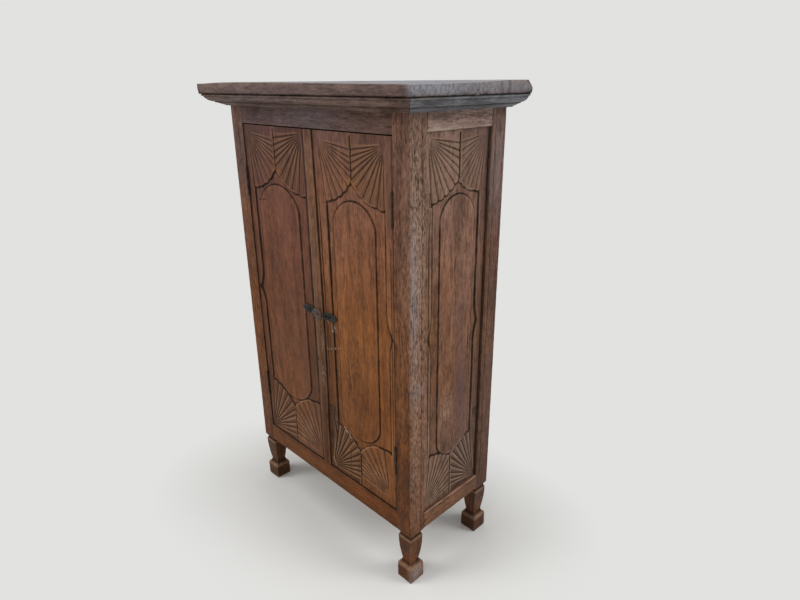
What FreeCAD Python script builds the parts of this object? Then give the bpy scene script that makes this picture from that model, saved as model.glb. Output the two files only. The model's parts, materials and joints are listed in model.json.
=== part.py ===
import FreeCAD, Part
import math
import os
from FreeCAD import Vector

# Trastero cabinet: a two-door wooden cupboard on carved square legs.
# X runs left to right, Y from the front to the back, Z up.
# The origin is on the floor, under the middle of the whole footprint.

# Overall sizes
body_width = 822.0
body_depth = 387.0
full_height = 1524.0
side_overhang = 74.0
front_overhang = 74.0
back_overhang = 16.0

# Frame members
post_size = 61.5
leg_height = 190.0
rail_thickness = 28.0
front_bottom_rail_height = 69.0
side_bottom_rail_height = 59.0
front_top_rail_height = 53.0
side_top_rail_height = 48.0
tenon_length = 34.0
tenon_thickness = 10.0
tenon_shoulder = 8.0
mortise_spare = 1.0
cut_overrun = 5.0

# Legs, carved in one piece with the posts
foot_height = 60.0
foot_round = 9.0
neck_size = 39.0
neck_height = 14.0
shoulder_drop = 22.0
shoulder_size = 57.0
notch_drop = 12.0
notch_size = 47.0
vase_bulge_share = 0.72
post_edge_chamfer = 4.0

# Top and cornice
top_thickness = 35.0
top_edge_lean = 8.5
top_edge_bulge = 2.1
top_board_gap = 0.8
moulding_height = 36.0
moulding_bead = 3.2
moulding_foot = 10.0
moulding_step = 1.6
ovolo_out_share = 0.56
ovolo_end_share = 0.36
ovolo_swell_share = 0.36
bead_near_share = 0.15
bead_far_share = 0.75
cove_mid_share = 0.42

# Side panels, held in grooves
panel_recess = 10.0
panel_thickness = 18.0
tongue_thickness = 8.0
tongue_length = 9.0
tongue_setback = 3.0
groove_spare = 1.0

# Back boards, floor, shelves
back_board_count = 3
back_board_thickness = 14.0
back_board_setback = 8.0
board_gap = 0.6
floor_rise = 11.0
floor_thickness = 18.0
shelf_thickness = 18.0
shelf_rise_shares = (0.2133, 0.4471, 0.6809)
cleat_width = 20.0
cleat_height = 22.0
fitting_gap = 1.0

# Doors
door_thickness = 24.0
door_recess = 3.0
door_gap = 3.0
meeting_gap = 2.5
meeting_offset = 24.0
batten_width = 40.0
batten_height = 7.0
batten_side = 3.5
ledge_height = 70.0
ledge_thickness = 16.0
ledge_end_gap = 34.0
ledge_rise_shares = (0.0793, 0.859)
stop_height = 40.0
stop_lap = 12.0
stop_thickness = 18.0

# Door hinges
hinge_length = 94.0
hinge_rise_shares = (0.1225, 0.7974)
knuckle_radius = 3.5
pin_radius = 1.8
pin_clearance = 0.05
knuckle_gap = 0.3
hinge_proud = 1.0
leaf_thickness = 1.9
leaf_depth = 21.0
leaf_offset = 1.7
leaf_rim = 1.6
pin_head = 2.0
pin_head_share = 0.7
knuckle_room = 0.7

# Latch irons
latch_rise_share = 0.504
iron_thickness = 2.5
iron_height = 28.0
left_iron_length = 56.0
right_iron_length = 66.0
iron_neck_share = 0.62
iron_tip_share = 0.16
latch_knuckle_radius = 4.0
latch_pin_radius = 2.0
latch_knuckle_height = 9.0
latch_axis_gap = 5.0
latch_axis_proud = 5.4
latch_pin_clearance = 0.05
latch_clear = 1.2
latch_web = 1.2
hasp_gap = 0.3
hasp_thickness = 2.4
hasp_height = 30.0
hasp_end_round = 9.0
hasp_end_gap = 0.8
hasp_slot_length = 15.0
hasp_slot_width = 7.5
hasp_slot_margin = 7.0
staple_bar = 4.8
staple_bend_radius = 8.5
staple_leg = 7.5
staple_margin = 24.0

# Carving
carving_depth = 3.2
flute_depth = 3.0
flute_overrun = 0.8
flute_width_share = 0.74
flute_start_share = 0.14
flute_run_out = 3.0
scallop_share = 0.022
centre_line_width = 8.0
clipped_petals = 3
scalloped_petals = 5

# Places worked out from the sizes above
half_width = body_width / 2
front_y = front_overhang - (body_depth + front_overhang + back_overhang) / 2
back_y = front_y + body_depth
post_top = full_height - top_thickness
moulding_bottom = post_top - moulding_height
opening_half = half_width - post_size
opening_bottom = leg_height + front_bottom_rail_height
opening_top = moulding_bottom - front_top_rail_height
side_bottom = leg_height + side_bottom_rail_height
side_top = moulding_bottom - side_top_rail_height
panel_face = half_width - panel_recess
panel_back = panel_face - panel_thickness
floor_top = opening_bottom + floor_rise
door_bottom = opening_bottom + door_gap
door_top = opening_top - door_gap
door_height = door_top - door_bottom
inner_height = post_top - floor_top
door_face = front_y + door_recess
door_back = door_face + door_thickness
hinge_x = opening_half - door_gap / 2
hinge_y = front_y - hinge_proud
left_door_end = meeting_offset
right_door_end = meeting_offset + meeting_gap
door_hinge_edge = opening_half - door_gap
batten_left = meeting_offset - batten_width
latch_x = batten_left - latch_axis_gap
latch_y = door_face - latch_axis_proud
latch_z = door_bottom + door_height * latch_rise_share

# Carving layouts: shares of the carved field's width and height,
# from its lower left corner as seen from outside.
left_door_layout_shares = {
    "top_meet": (0.501, 0.894), "bottom_meet": (0.498, 0.1225),
    "top_left": (0.074, 0.977), "top_right": (0.944, 0.987),
    "bottom_left": (0.024, 0.006), "bottom_right": (0.976, 0.016),
    "sides": (0.097, 0.964), "lower_sides": (0.097, 0.964),
    "island": (0.170, 0.820), "island_ends": (0.164, 0.841),
    "island_shoulders": (0.230, 0.778),
    "left_cusp": (0.017, 0.510), "right_cusp": None,
}
right_door_layout_shares = {
    "top_meet": (0.492, 0.893), "bottom_meet": (0.483, 0.1066),
    "top_left": (0.061, 0.976), "top_right": (0.905, 0.978),
    "bottom_left": (0.045, 0.011), "bottom_right": (0.905, 0.027),
    "sides": (0.133, 0.908), "lower_sides": (0.136, 0.940),
    "island": (0.222, 0.772), "island_ends": (0.159, 0.837),
    "island_shoulders": (0.220, 0.779),
    "left_cusp": None, "right_cusp": (0.982, 0.513),
}
side_layout_shares = {
    "top_meet": (0.532, 0.893), "bottom_meet": (0.496, 0.122),
    "top_left": (0.060, 0.986), "top_right": (0.955, 0.984),
    "bottom_left": (0.045, 0.010), "bottom_right": (0.960, 0.010),
    "sides": (0.125, 0.871), "lower_sides": (0.125, 0.871),
    "island": (0.261, 0.795), "island_ends": (0.135, 0.852),
    "island_shoulders": (0.182, 0.800),
    "left_cusp": (0.075, 0.508), "right_cusp": (0.925, 0.508),
}
cusp_rise_share = 0.083
cusp_fall_share = 0.071
cusp_mid_share = 0.32
quarter_turn = 90


def box(x0, x1, y0, y1, z0, z1):
    return Part.makeBox(x1 - x0, y1 - y0, z1 - z0, Vector(x0, y0, z0))


def mirrored(shape):
    return shape.mirror(Vector(0, 0, 0), Vector(1, 0, 0))


def prism(points, direction):
    wire = Part.makePolygon([Vector(*p) for p in points + points[:1]])
    return Part.Face(wire).extrude(Vector(*direction))


def edges_prism(edges, direction):
    return Part.Face(Part.Wire(edges)).extrude(Vector(*direction))


def line(a, b):
    return Part.LineSegment(Vector(*a), Vector(*b)).toShape()


def arc(a, b, c):
    return Part.Arc(Vector(*a), Vector(*b), Vector(*c)).toShape()


def cylinder(radius, height, x, y, z, direction=(0, 0, 1)):
    return Part.makeCylinder(radius, height, Vector(x, y, z), Vector(*direction))


def save(shape, name):
    solid = shape.removeSplitter() if len(shape.Solids) == 1 else shape
    if len(solid.Solids) == 1:
        solid = solid.Solids[0]
    print(name, "solids", len(solid.Solids), "volume", round(solid.Volume))
    solid.exportStep("parts/" + name + ".step")


# Frame: rails with tenons, panels with tongues

def front_rail_spans():
    """Front and back rails as (name, y0, z0, z1)."""
    back_rail_y = back_y - rail_thickness
    return [
        ("rail_front_bottom", front_y, leg_height, opening_bottom),
        ("rail_front_top", front_y, opening_top, post_top),
        ("rail_back_bottom", back_rail_y, leg_height, opening_bottom),
        ("rail_back_top", back_rail_y, opening_top, post_top),
    ]


def side_rail_spans():
    """Right side rails as (name, z0, z1)."""
    return [
        ("rail_right_bottom", leg_height, side_bottom),
        ("rail_right_top", side_top, post_top),
    ]


def front_tenons(y0, z0, z1, spare):
    """The two tenons of a front or back rail; spare lengthens them for mortises."""
    cheek = y0 + (rail_thickness - tenon_thickness) / 2
    reach = opening_half + tenon_length + spare
    low, high = z0 + tenon_shoulder, z1 - tenon_shoulder
    return box(-reach, reach, cheek, cheek + tenon_thickness, low, high)


def side_tenons(z0, z1, spare):
    """The two tenons of a right side rail."""
    cheek = half_width - (rail_thickness + tenon_thickness) / 2
    reach = post_size - tenon_length - spare
    low, high = z0 + tenon_shoulder, z1 - tenon_shoulder
    return box(cheek, cheek + tenon_thickness, front_y + reach, back_y - reach, low, high)


def side_tongue(spare):
    """The right side panel's tongue plate, with room for wood movement."""
    inner = panel_back + tongue_setback
    reach = tongue_length + spare
    return box(inner, inner + tongue_thickness, front_y + post_size - reach,
               back_y - post_size + reach, side_bottom - reach, side_top + reach)


def back_groove_plate(spare):
    """Space that the back boards fill, with their edges in the grooves."""
    reach = tongue_length + spare
    outer = back_y - back_board_setback
    return box(-opening_half - reach, opening_half + reach, outer - back_board_thickness, outer,
               opening_bottom - reach, opening_top + reach)


def leg_profile():
    """Half outline of a leg as (half width, height) from the floor up."""
    half, neck = post_size / 2, neck_size / 2
    low_neck = foot_height + neck_height
    shoulder = leg_height - shoulder_drop
    notch = leg_height - notch_drop
    return [
        ("line", (half, 0), (half, foot_height - foot_round)),
        ("arc", (half, foot_height - foot_round),
         (half - foot_round * (1 - math.cos(math.pi / 4)),
          foot_height - foot_round * (1 - math.sin(math.pi / 4))),
         (half - foot_round, foot_height)),
        ("line", (half - foot_round, foot_height), (neck, low_neck)),
        ("arc", (neck, low_neck),
         (neck + (shoulder_size / 2 - neck) * vase_bulge_share,
          low_neck + (shoulder - low_neck) / 2),
         (shoulder_size / 2, shoulder)),
        ("line", (shoulder_size / 2, shoulder), (notch_size / 2, notch)),
        ("line", (notch_size / 2, notch), (half, leg_height)),
    ]


def leg_blank(centre_x, centre_y, along):
    """The leg's outline carried through the post along one axis."""
    def place(sign, point):
        offset = sign * point[0]
        if along == "y":
            return (centre_x + offset, centre_y - post_size / 2, point[1])
        return (centre_x - post_size / 2, centre_y + offset, point[1])
    edges = []
    for step in leg_profile():
        maker = line if step[0] == "line" else arc
        edges.append(maker(*[place(1, p) for p in step[1:]]))
    edges.append(line(place(1, (post_size / 2, leg_height)), place(-1, (post_size / 2, leg_height))))
    for step in reversed(leg_profile()):
        maker = line if step[0] == "line" else arc
        edges.append(maker(*[place(-1, p) for p in reversed(step[1:])]))
    edges.append(line(place(-1, (post_size / 2, 0)), place(1, (post_size / 2, 0))))
    direction = (0, post_size, 0) if along == "y" else (post_size, 0, 0)
    return edges_prism(edges, direction)


def right_post(at_back):
    """A right post with its leg, mortises and grooves."""
    y0 = back_y - post_size if at_back else front_y
    centre_x, centre_y = half_width - post_size / 2, y0 + post_size / 2
    leg = leg_blank(centre_x, centre_y, "y").common(leg_blank(centre_x, centre_y, "x"))
    shaft = box(half_width - post_size, half_width, y0, y0 + post_size, leg_height, post_top)
    inner_edge = y0 if at_back else y0 + post_size
    c = post_edge_chamfer
    shaft = shaft.cut(prism(
        [(half_width - c, inner_edge, side_bottom), (half_width, inner_edge - c, side_bottom),
         (half_width + c, inner_edge, side_bottom), (half_width, inner_edge + c, side_bottom)],
        (0, 0, side_top - side_bottom)))
    post = leg.fuse(shaft)
    tools = [side_tongue(groove_spare)]
    tools += [side_tenons(z0, z1, mortise_spare) for _, z0, z1 in side_rail_spans()]
    tools += [front_tenons(rail_y, z0, z1, mortise_spare)
              for _, rail_y, z0, z1 in front_rail_spans() if (rail_y > 0) == at_back]
    if at_back:
        tools.append(back_groove_plate(groove_spare))
    else:
        tools += hinge_room()
    return post.cut(Part.makeCompound(tools))


def front_rail(y0, z0, z1):
    rail = box(-opening_half, opening_half, y0, y0 + rail_thickness, z0, z1)
    rail = rail.fuse(front_tenons(y0, z0, z1, 0))
    if y0 > 0:
        rail = rail.cut(back_groove_plate(groove_spare))
    return rail


def side_rail(z0, z1):
    rail = box(half_width - rail_thickness, half_width, front_y + post_size,
               back_y - post_size, z0, z1)
    return rail.fuse(side_tenons(z0, z1, 0)).cut(side_tongue(groove_spare))


# Carving: fluted sunbursts in the four corners, a sunk band with a scalloped
# outline, and a raised long field with arched ends inside it

def fan(meet, apex, side_u):
    """A fan's radius and its petal angles: first those cut short by the
    centre line, then those that end in scallops down to the side line."""
    across = abs(meet[0] - apex[0])
    radius = math.hypot(meet[0] - apex[0], meet[1] - apex[1])
    toward = 1 if meet[0] > apex[0] else -1
    up = 1 if meet[1] > apex[1] else -1
    meet_angle = math.acos(across / radius)
    end_angle = math.acos((side_u - apex[0]) * toward / radius)
    step = meet_angle / clipped_petals
    clipped = [step * k for k in range(1, clipped_petals)]
    spread = (end_angle - meet_angle) / scalloped_petals
    scalloped = [meet_angle + spread * k for k in range(scalloped_petals + 1)]
    return {"apex": apex, "radius": radius, "toward": toward, "up": up,
            "across": across, "clipped": clipped, "scalloped": scalloped}


def fan_point(one_fan, radius, angle):
    return (one_fan["apex"][0] + one_fan["toward"] * radius * math.cos(angle),
            one_fan["apex"][1] + one_fan["up"] * radius * math.sin(angle))


def scallop_edges(one_fan):
    """Arcs over the petals' ends, from the meeting point to the side."""
    edges = []
    angles = one_fan["scalloped"]
    for a, b in zip(angles, angles[1:]):
        middle = fan_point(one_fan, one_fan["radius"] * (1 + scallop_share), (a + b) / 2)
        edges.append((fan_point(one_fan, one_fan["radius"], a), middle,
                      fan_point(one_fan, one_fan["radius"], b)))
    return edges


def side_edges(top, bottom, cusp, height):
    """A side of the band's outline from top to bottom, with its cusp."""
    if cusp is None:
        return [(top, bottom)]
    rise = cusp_rise_share * height
    fall = cusp_fall_share * height
    upper = (top[0], cusp[1] + rise)
    lower = (bottom[0], cusp[1] - fall)
    upper_mid = (top[0] + (cusp[0] - top[0]) * cusp_mid_share, cusp[1] + rise * cusp_mid_share)
    lower_mid = (bottom[0] + (cusp[0] - bottom[0]) * cusp_mid_share,
                 cusp[1] - fall * cusp_mid_share)
    return [(top, upper), (upper, upper_mid, cusp), (cusp, lower_mid, lower), (lower, bottom)]


def local_edges(pieces, depth):
    edges = []
    for piece in pieces:
        points = [(p[0], depth, p[1]) for p in piece]
        edges.append(line(*points) if len(points) == 2 else arc(*points))
    return edges


def flipped(pieces):
    return [tuple(reversed(piece)) for piece in reversed(pieces)]


def flute(one_fan, angle, reach, pitch):
    """A V flute that widens and deepens from near the apex to its end."""
    start = flute_start_share * one_fan["radius"]
    end = reach + flute_run_out
    half = flute_width_share * pitch * reach / 2
    grow = 1 + flute_overrun / flute_depth
    tip_r = start - (end - start) * flute_overrun / flute_depth
    tip = fan_point(one_fan, tip_r, angle)
    mid = fan_point(one_fan, end, angle)
    side = (-math.sin(angle) * one_fan["toward"], math.cos(angle) * one_fan["up"])
    a = (mid[0] + side[0] * half * grow, -flute_overrun, mid[1] + side[1] * half * grow)
    b = (mid[0] - side[0] * half * grow, -flute_overrun, mid[1] - side[1] * half * grow)
    c = (mid[0], flute_depth, mid[1])
    t = (tip[0], -flute_overrun, tip[1])
    faces = [Part.Face(Part.makePolygon([Vector(*p) for p in (q[0], q[1], q[2], q[0])]))
             for q in ((a, b, c), (a, b, t), (b, c, t), (c, a, t))]
    wedge = Part.makeSolid(Part.makeShell(faces))
    return wedge if wedge.Volume > 0 else wedge.reversed()


def centre_line(u, z0, z1):
    """A V line between two fans, from the field's end into the sunk band."""
    half = centre_line_width / 2 * (1 + flute_overrun / flute_depth)
    return prism([(u - half, -flute_overrun, z0), (u + half, -flute_overrun, z0),
                  (u, flute_depth, z0)], (0, 0, z1 - z0))


def carving(left, bottom, width, height, layout):
    """All that is cut away from a panel's face; the face is at Y 0, depth is +Y."""
    def at(name):
        return (left + width * layout[name][0], bottom + height * layout[name][1])
    top_meet, bottom_meet = at("top_meet"), at("bottom_meet")
    side_left, side_right = [left + width * s for s in layout["sides"]]
    low_left, low_right = [left + width * s for s in layout["lower_sides"]]
    top_left = fan(top_meet, at("top_left"), side_left)
    top_right = fan(top_meet, at("top_right"), side_right)
    bottom_left = fan(bottom_meet, at("bottom_left"), low_left)
    bottom_right = fan(bottom_meet, at("bottom_right"), low_right)

    def end(one_fan):
        return fan_point(one_fan, one_fan["radius"], one_fan["scalloped"][-1])
    left_cusp = at("left_cusp") if layout["left_cusp"] else None
    right_cusp = at("right_cusp") if layout["right_cusp"] else None
    outline = scallop_edges(top_right)
    outline += side_edges(end(top_right), end(bottom_right), right_cusp, height)
    outline += flipped(scallop_edges(bottom_right)) + scallop_edges(bottom_left)
    outline += flipped(side_edges(end(top_left), end(bottom_left), left_cusp, height))
    outline += flipped(scallop_edges(top_left))
    sunk = edges_prism(local_edges(outline, -cut_overrun), (0, cut_overrun + carving_depth, 0))

    in_left, in_right = [left + width * s for s in layout["island"]]
    low_end, high_end = [bottom + height * s for s in layout["island_ends"]]
    low_side, high_side = [bottom + height * s for s in layout["island_shoulders"]]
    middle = (in_left + in_right) / 2
    island = [((in_left, high_side), (middle, high_end), (in_right, high_side)),
              ((in_right, high_side), (in_right, low_side)),
              ((in_right, low_side), (middle, low_end), (in_left, low_side)),
              ((in_left, low_side), (in_left, high_side))]
    raised = edges_prism(local_edges(island, -cut_overrun), (0, cut_overrun + carving_depth, 0))

    flutes = []
    for one_fan in (top_left, top_right, bottom_left, bottom_right):
        pitch = one_fan["scalloped"][1] - one_fan["scalloped"][0]
        for angle in one_fan["clipped"]:
            reach = (one_fan["across"] - centre_line_width) / math.cos(angle)
            flutes.append(flute(one_fan, angle, reach, pitch))
        for angle in one_fan["scalloped"]:
            flutes.append(flute(one_fan, angle, one_fan["radius"], pitch))
    lines = [centre_line(top_meet[0], top_meet[1] - flute_run_out, bottom + height),
             centre_line(bottom_meet[0], bottom, bottom_meet[1] + flute_run_out)]
    return sunk.cut(raised), flutes, lines


def carved(board, cutters, place):
    """Cuts the band, then the flutes and the centre lines, from a board."""
    sunk, flutes, lines = cutters
    for tools in ([sunk], flutes, lines):
        board = board.cut(Part.makeCompound([place(tool) for tool in tools]))
    return board


def side_panel():
    """The right side panel: a board in grooves, carved on its outer face."""
    y0, y1 = front_y + post_size, back_y - post_size
    board = box(panel_back, panel_face, y0, y1, side_bottom, side_top)
    board = board.fuse(side_tongue(0))
    cutters = carving(0, side_bottom, y1 - y0, side_top - side_bottom, side_layout_shares)

    def place(tool):
        turned = tool.copy()
        turned.rotate(Vector(0, 0, 0), Vector(0, 0, 1), quarter_turn)
        turned.translate(Vector(panel_face, y0, 0))
        return turned
    return carved(board, cutters, place)


# Doors

def door_board(x0, x1, field, layout):
    board = box(x0, x1, door_face, door_back, door_bottom, door_top)
    cutters = carving(field[0], door_bottom, field[1] - field[0], door_top - door_bottom, layout)

    def place(tool):
        return tool.translated(Vector(0, door_face, 0))
    return carved(board, cutters, place)


def left_door_panel():
    board = door_board(-door_hinge_edge, left_door_end, (-door_hinge_edge, batten_left),
                       left_door_layout_shares)
    return board.cut(Part.makeCompound([mirrored(tool) for tool in hinge_room()]))


def right_door_panel():
    board = door_board(right_door_end, door_hinge_edge, (right_door_end, door_hinge_edge),
                       right_door_layout_shares)
    return board.cut(Part.makeCompound(hinge_room()))


def meeting_batten():
    """A rounded strip that stands on the left door's free edge."""
    x0, x1 = batten_left, left_door_end
    side = door_face - batten_side
    crown = door_face - batten_height
    edges = [line((x0, door_face, door_bottom), (x0, side, door_bottom)),
             arc((x0, side, door_bottom), ((x0 + x1) / 2, crown, door_bottom),
                 (x1, side, door_bottom)),
             line((x1, side, door_bottom), (x1, door_face, door_bottom)),
             line((x1, door_face, door_bottom), (x0, door_face, door_bottom))]
    return edges_prism(edges, (0, 0, door_top - door_bottom))


def door_ledge(x0, x1, rise_share):
    """A ledge across a door's inner face, with its lower and upper edges eased."""
    z0 = door_bottom + door_height * rise_share
    ease = ledge_thickness / 4
    y1 = door_back + ledge_thickness
    return prism([(x0, door_back, z0), (x0, y1 - ease, z0), (x0, y1, z0 + ease),
                  (x0, y1, z0 + ledge_height - ease), (x0, y1 - ease, z0 + ledge_height),
                  (x0, door_back, z0 + ledge_height)], (x1 - x0, 0, 0))


# Door hinges: a leaf in the post, a leaf in the door's edge, and a pin

def hinge_room():
    """Room for the right hinges' knuckles and leaves in post and door."""
    tools = []
    for share in hinge_rise_shares:
        z0 = door_bottom + door_height * share
        tools.append(cylinder(knuckle_radius + knuckle_room,
                              hinge_length + pin_head + knuckle_room, hinge_x, hinge_y, z0))
        for side in (-1, 1):
            near, far = leaf_span(side)
            tools.append(box(min(near, far), max(near, far), hinge_y, leaf_back(),
                             z0, z0 + hinge_length))
    return tools


def leaf_span(side):
    """Across the gap, from the leaf's free face to the face let into the wood."""
    near = hinge_x + side * (door_gap / 2)
    return near, near + side * leaf_thickness


def leaf_back():
    return door_face + leaf_depth


def hinge_leaf(side, rise_share, thirds):
    """A leaf with its knuckles; thirds picks those of the three that it has."""
    z0 = door_bottom + door_height * rise_share
    near, far = leaf_span(side)
    third = hinge_length / 3
    start = hinge_y + knuckle_radius + knuckle_gap
    leaf = box(min(near, far), max(near, far), start, leaf_back(), z0, z0 + hinge_length)
    for k in thirds:
        low = z0 + third * k + (knuckle_gap / 2 if k else 0)
        high = z0 + third * (k + 1) - (knuckle_gap / 2 if k < 2 else 0)
        barrel = cylinder(knuckle_radius, high - low, hinge_x, hinge_y, low)
        web = box(min(near, far), max(near, far), hinge_y, start + leaf_rim, low, high)
        leaf = leaf.fuse(barrel).fuse(web)
    bore = cylinder(pin_radius + pin_clearance, hinge_length, hinge_x, hinge_y, z0)
    return leaf.cut(bore)


def hinge_pin(rise_share):
    """The pin, with a square head that rests on the top knuckle."""
    top = door_bottom + door_height * rise_share + hinge_length
    shaft = cylinder(pin_radius, hinge_length, hinge_x, hinge_y, top - hinge_length)
    half = knuckle_radius * pin_head_share
    head = box(hinge_x - half, hinge_x + half, hinge_y - half, hinge_y + half, top, top + pin_head)
    return shaft.fuse(head)


# Latch irons

def pointed_iron(x0, x1, point_at_left):
    """A plate drawn out to a point at one end, lying on a door's face."""
    tip, foot = (x0, x1) if point_at_left else (x1, x0)
    run = foot - tip
    half = iron_height / 2
    neck = half * iron_neck_share
    belly = tip + run / 2
    y = door_face
    edges = [arc((tip, y, latch_z), (tip + run * iron_tip_share, y, latch_z + neck),
                 (belly, y, latch_z + half)),
             line((belly, y, latch_z + half), (foot, y, latch_z + neck)),
             line((foot, y, latch_z + neck), (foot, y, latch_z - neck)),
             line((foot, y, latch_z - neck), (belly, y, latch_z - half)),
             arc((belly, y, latch_z - half), (tip + run * iron_tip_share, y, latch_z - neck),
                 (tip, y, latch_z))]
    return edges_prism(edges, (0, -iron_thickness, 0))


def latch_knuckle(low, high):
    return cylinder(latch_knuckle_radius, high - low, latch_x, latch_y, low)


def latch_leaf():
    """The left iron: fixed to the left door, with the two outer knuckles."""
    right = latch_x - latch_knuckle_radius - latch_clear
    iron = pointed_iron(right - left_iron_length, right, True)
    low, high = latch_z - hasp_height / 2, latch_z + hasp_height / 2
    for z0, z1 in ((low, low + latch_knuckle_height), (high - latch_knuckle_height, high)):
        arm = box(right - latch_knuckle_radius, latch_x, door_face - iron_thickness, door_face,
                  z0, z1)
        iron = iron.fuse(arm).fuse(latch_knuckle(z0, z1))
        web = box(latch_x - latch_web, latch_x + latch_web, latch_y, door_face, z0, z1)
        iron = iron.fuse(web)
    bore = cylinder(latch_pin_radius + latch_pin_clearance, hasp_height, latch_x, latch_y, low)
    return iron.cut(bore)


def latch_pin():
    low = latch_z - hasp_height / 2
    return cylinder(latch_pin_radius, hasp_height, latch_x, latch_y, low)


def hasp():
    """The swinging plate: over the batten to the door gap, slotted near its end."""
    low, high = latch_z - hasp_height / 2, latch_z + hasp_height / 2
    back = door_face - batten_height - hasp_gap
    face = back - hasp_thickness
    end = left_door_end - hasp_end_gap
    start = latch_x + latch_knuckle_radius + latch_clear
    r = hasp_end_round
    bend = 1 - math.cos(math.pi / 4)
    edges = [line((start, face, low), (end - r, face, low)),
             arc((end - r, face, low), (end - r * bend, face, low + r * bend),
                 (end, face, low + r)),
             line((end, face, low + r), (end, face, high - r)),
             arc((end, face, high - r), (end - r * bend, face, high - r * bend),
                 (end - r, face, high)),
             line((end - r, face, high), (start, face, high)),
             line((start, face, high), (start, face, low))]
    plate = edges_prism(edges, (0, hasp_thickness, 0))
    z0 = low + latch_knuckle_height + knuckle_gap
    z1 = high - latch_knuckle_height - knuckle_gap
    tang = box(latch_x, start, face, back, z0, z1)
    plate = plate.fuse(tang).fuse(latch_knuckle(z0, z1))
    half = hasp_slot_width / 2
    left, right = end - hasp_slot_margin - hasp_slot_length, end - hasp_slot_margin
    slot = box(left + half, right - half, face - cut_overrun, back + cut_overrun,
               latch_z - half, latch_z + half)
    for x in (left + half, right - half):
        slot = slot.fuse(cylinder(half, hasp_thickness + 2 * cut_overrun, x,
                                  face - cut_overrun, latch_z, (0, 1, 0)))
    bore = cylinder(latch_pin_radius + latch_pin_clearance, hasp_height, latch_x, latch_y, low)
    return plate.cut(slot).cut(bore)


def staple(x):
    """A square bar bent into a loop that stands out of the door at x."""
    outer = staple_bend_radius + staple_bar / 2
    inner = staple_bend_radius - staple_bar / 2
    y = door_face - iron_thickness - staple_leg
    z = latch_z - staple_bar / 2
    edges = [line((x - outer, door_face, z), (x - outer, y, z)),
             arc((x - outer, y, z), (x, y - outer, z), (x + outer, y, z)),
             line((x + outer, y, z), (x + outer, door_face, z)),
             line((x + outer, door_face, z), (x + inner, door_face, z)),
             line((x + inner, door_face, z), (x + inner, y, z)),
             arc((x + inner, y, z), (x, y - inner, z), (x - inner, y, z)),
             line((x - inner, y, z), (x - inner, door_face, z)),
             line((x - inner, door_face, z), (x - outer, door_face, z))]
    return edges_prism(edges, (0, 0, staple_bar))


def latch_plate():
    """The right iron: a pointed plate with a staple standing out of it."""
    x0 = right_door_end + latch_clear
    iron = pointed_iron(x0, x0 + right_iron_length, False)
    return iron.fuse(staple(x0 + staple_margin))


# Top and cornice

def top_edge(outer, inner, z0, z1, sign, place):
    """The leaning, slightly swollen edge of the top, from its lower end up."""
    low, high = place(inner, z0), place(outer, z1)
    middle = place((outer + inner) / 2 + sign * top_edge_bulge, (z0 + z1) / 2)
    return arc(low, middle, high)


def top_boards():
    """The whole top: the side outline and the front outline carried through."""
    reach_x = half_width + side_overhang
    reach_front = front_y - front_overhang
    reach_back = back_y + back_overhang
    low, high = post_top, full_height

    def in_front(x, z):
        return (x, reach_front, z)

    def at_side(y, z):
        return (-reach_x, y, z)
    lean = top_edge_lean
    edges = [top_edge(reach_x, reach_x - lean, low, high, 1, in_front),
             line(in_front(reach_x, high), in_front(-reach_x, high)),
             top_edge(-reach_x, lean - reach_x, low, high, -1, in_front),
             line(in_front(lean - reach_x, low), in_front(reach_x - lean, low))]
    across = edges_prism(edges, (0, reach_back - reach_front, 0))
    edges = [top_edge(reach_front, reach_front + lean, low, high, -1, at_side),
             line(at_side(reach_front, high), at_side(reach_back, high)),
             line(at_side(reach_back, high), at_side(reach_back, low)),
             line(at_side(reach_back, low), at_side(reach_front + lean, low))]
    along = edges_prism(edges, (2 * reach_x, 0, 0))
    return across.common(along)


def top_board(front):
    """One of the top's two boards, which meet along the middle."""
    seam = (front_y - front_overhang + back_y + back_overhang) / 2
    reach = half_width + side_overhang + cut_overrun
    if front:
        keep = box(-reach, reach, front_y - front_overhang - cut_overrun,
                   seam - top_board_gap / 2, post_top, full_height)
    else:
        keep = box(-reach, reach, seam + top_board_gap / 2, back_y + back_overhang + cut_overrun,
                   post_top, full_height)
    return top_boards().common(keep)


def moulding_outline(overhang):
    """Cornice section as (out, height) pieces, from the top outer end down."""
    z1, z0 = post_top, moulding_bottom
    out = overhang - top_edge_lean
    b = moulding_bead
    bead_end = z1 - 2 * b
    ovolo_end = (out * ovolo_out_share, z0 + (z1 - z0) * ovolo_end_share)
    second = (ovolo_end[0] - moulding_step, ovolo_end[1])
    low_bead = (second[0] - b, second[1] - b)
    foot = (moulding_foot, z0 + moulding_step)
    start = (out - b - moulding_step, bead_end)
    return [
        ("line", (0, z0), (0, z1)),
        ("line", (0, z1), (out - b, z1)),
        ("arc", (out - b, z1), (out, z1 - b), (out - b, bead_end)),
        ("line", (out - b, bead_end), start),
        ("arc", start, (start[0] - (start[0] - ovolo_end[0]) * ovolo_swell_share,
                        ovolo_end[1] + (bead_end - ovolo_end[1]) * ovolo_swell_share),
         ovolo_end),
        ("line", ovolo_end, second),
        ("arc", second, (second[0] - b * bead_near_share, second[1] - b * bead_far_share),
         low_bead),
        ("line", low_bead, (low_bead[0] - moulding_step, low_bead[1])),
        ("arc", (low_bead[0] - moulding_step, low_bead[1]),
         (moulding_foot + (low_bead[0] - moulding_foot) * cove_mid_share,
          foot[1] + (low_bead[1] - foot[1]) * cove_mid_share), foot),
        ("line", foot, (moulding_foot, z0)),
        ("line", (moulding_foot, z0), (0, z0)),
    ]


def moulding_run(place, overhang, direction):
    edges = []
    for step in moulding_outline(overhang):
        maker = line if step[0] == "line" else arc
        edges.append(maker(*[place(p) for p in step[1:]]))
    return edges_prism(edges, direction)


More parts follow.
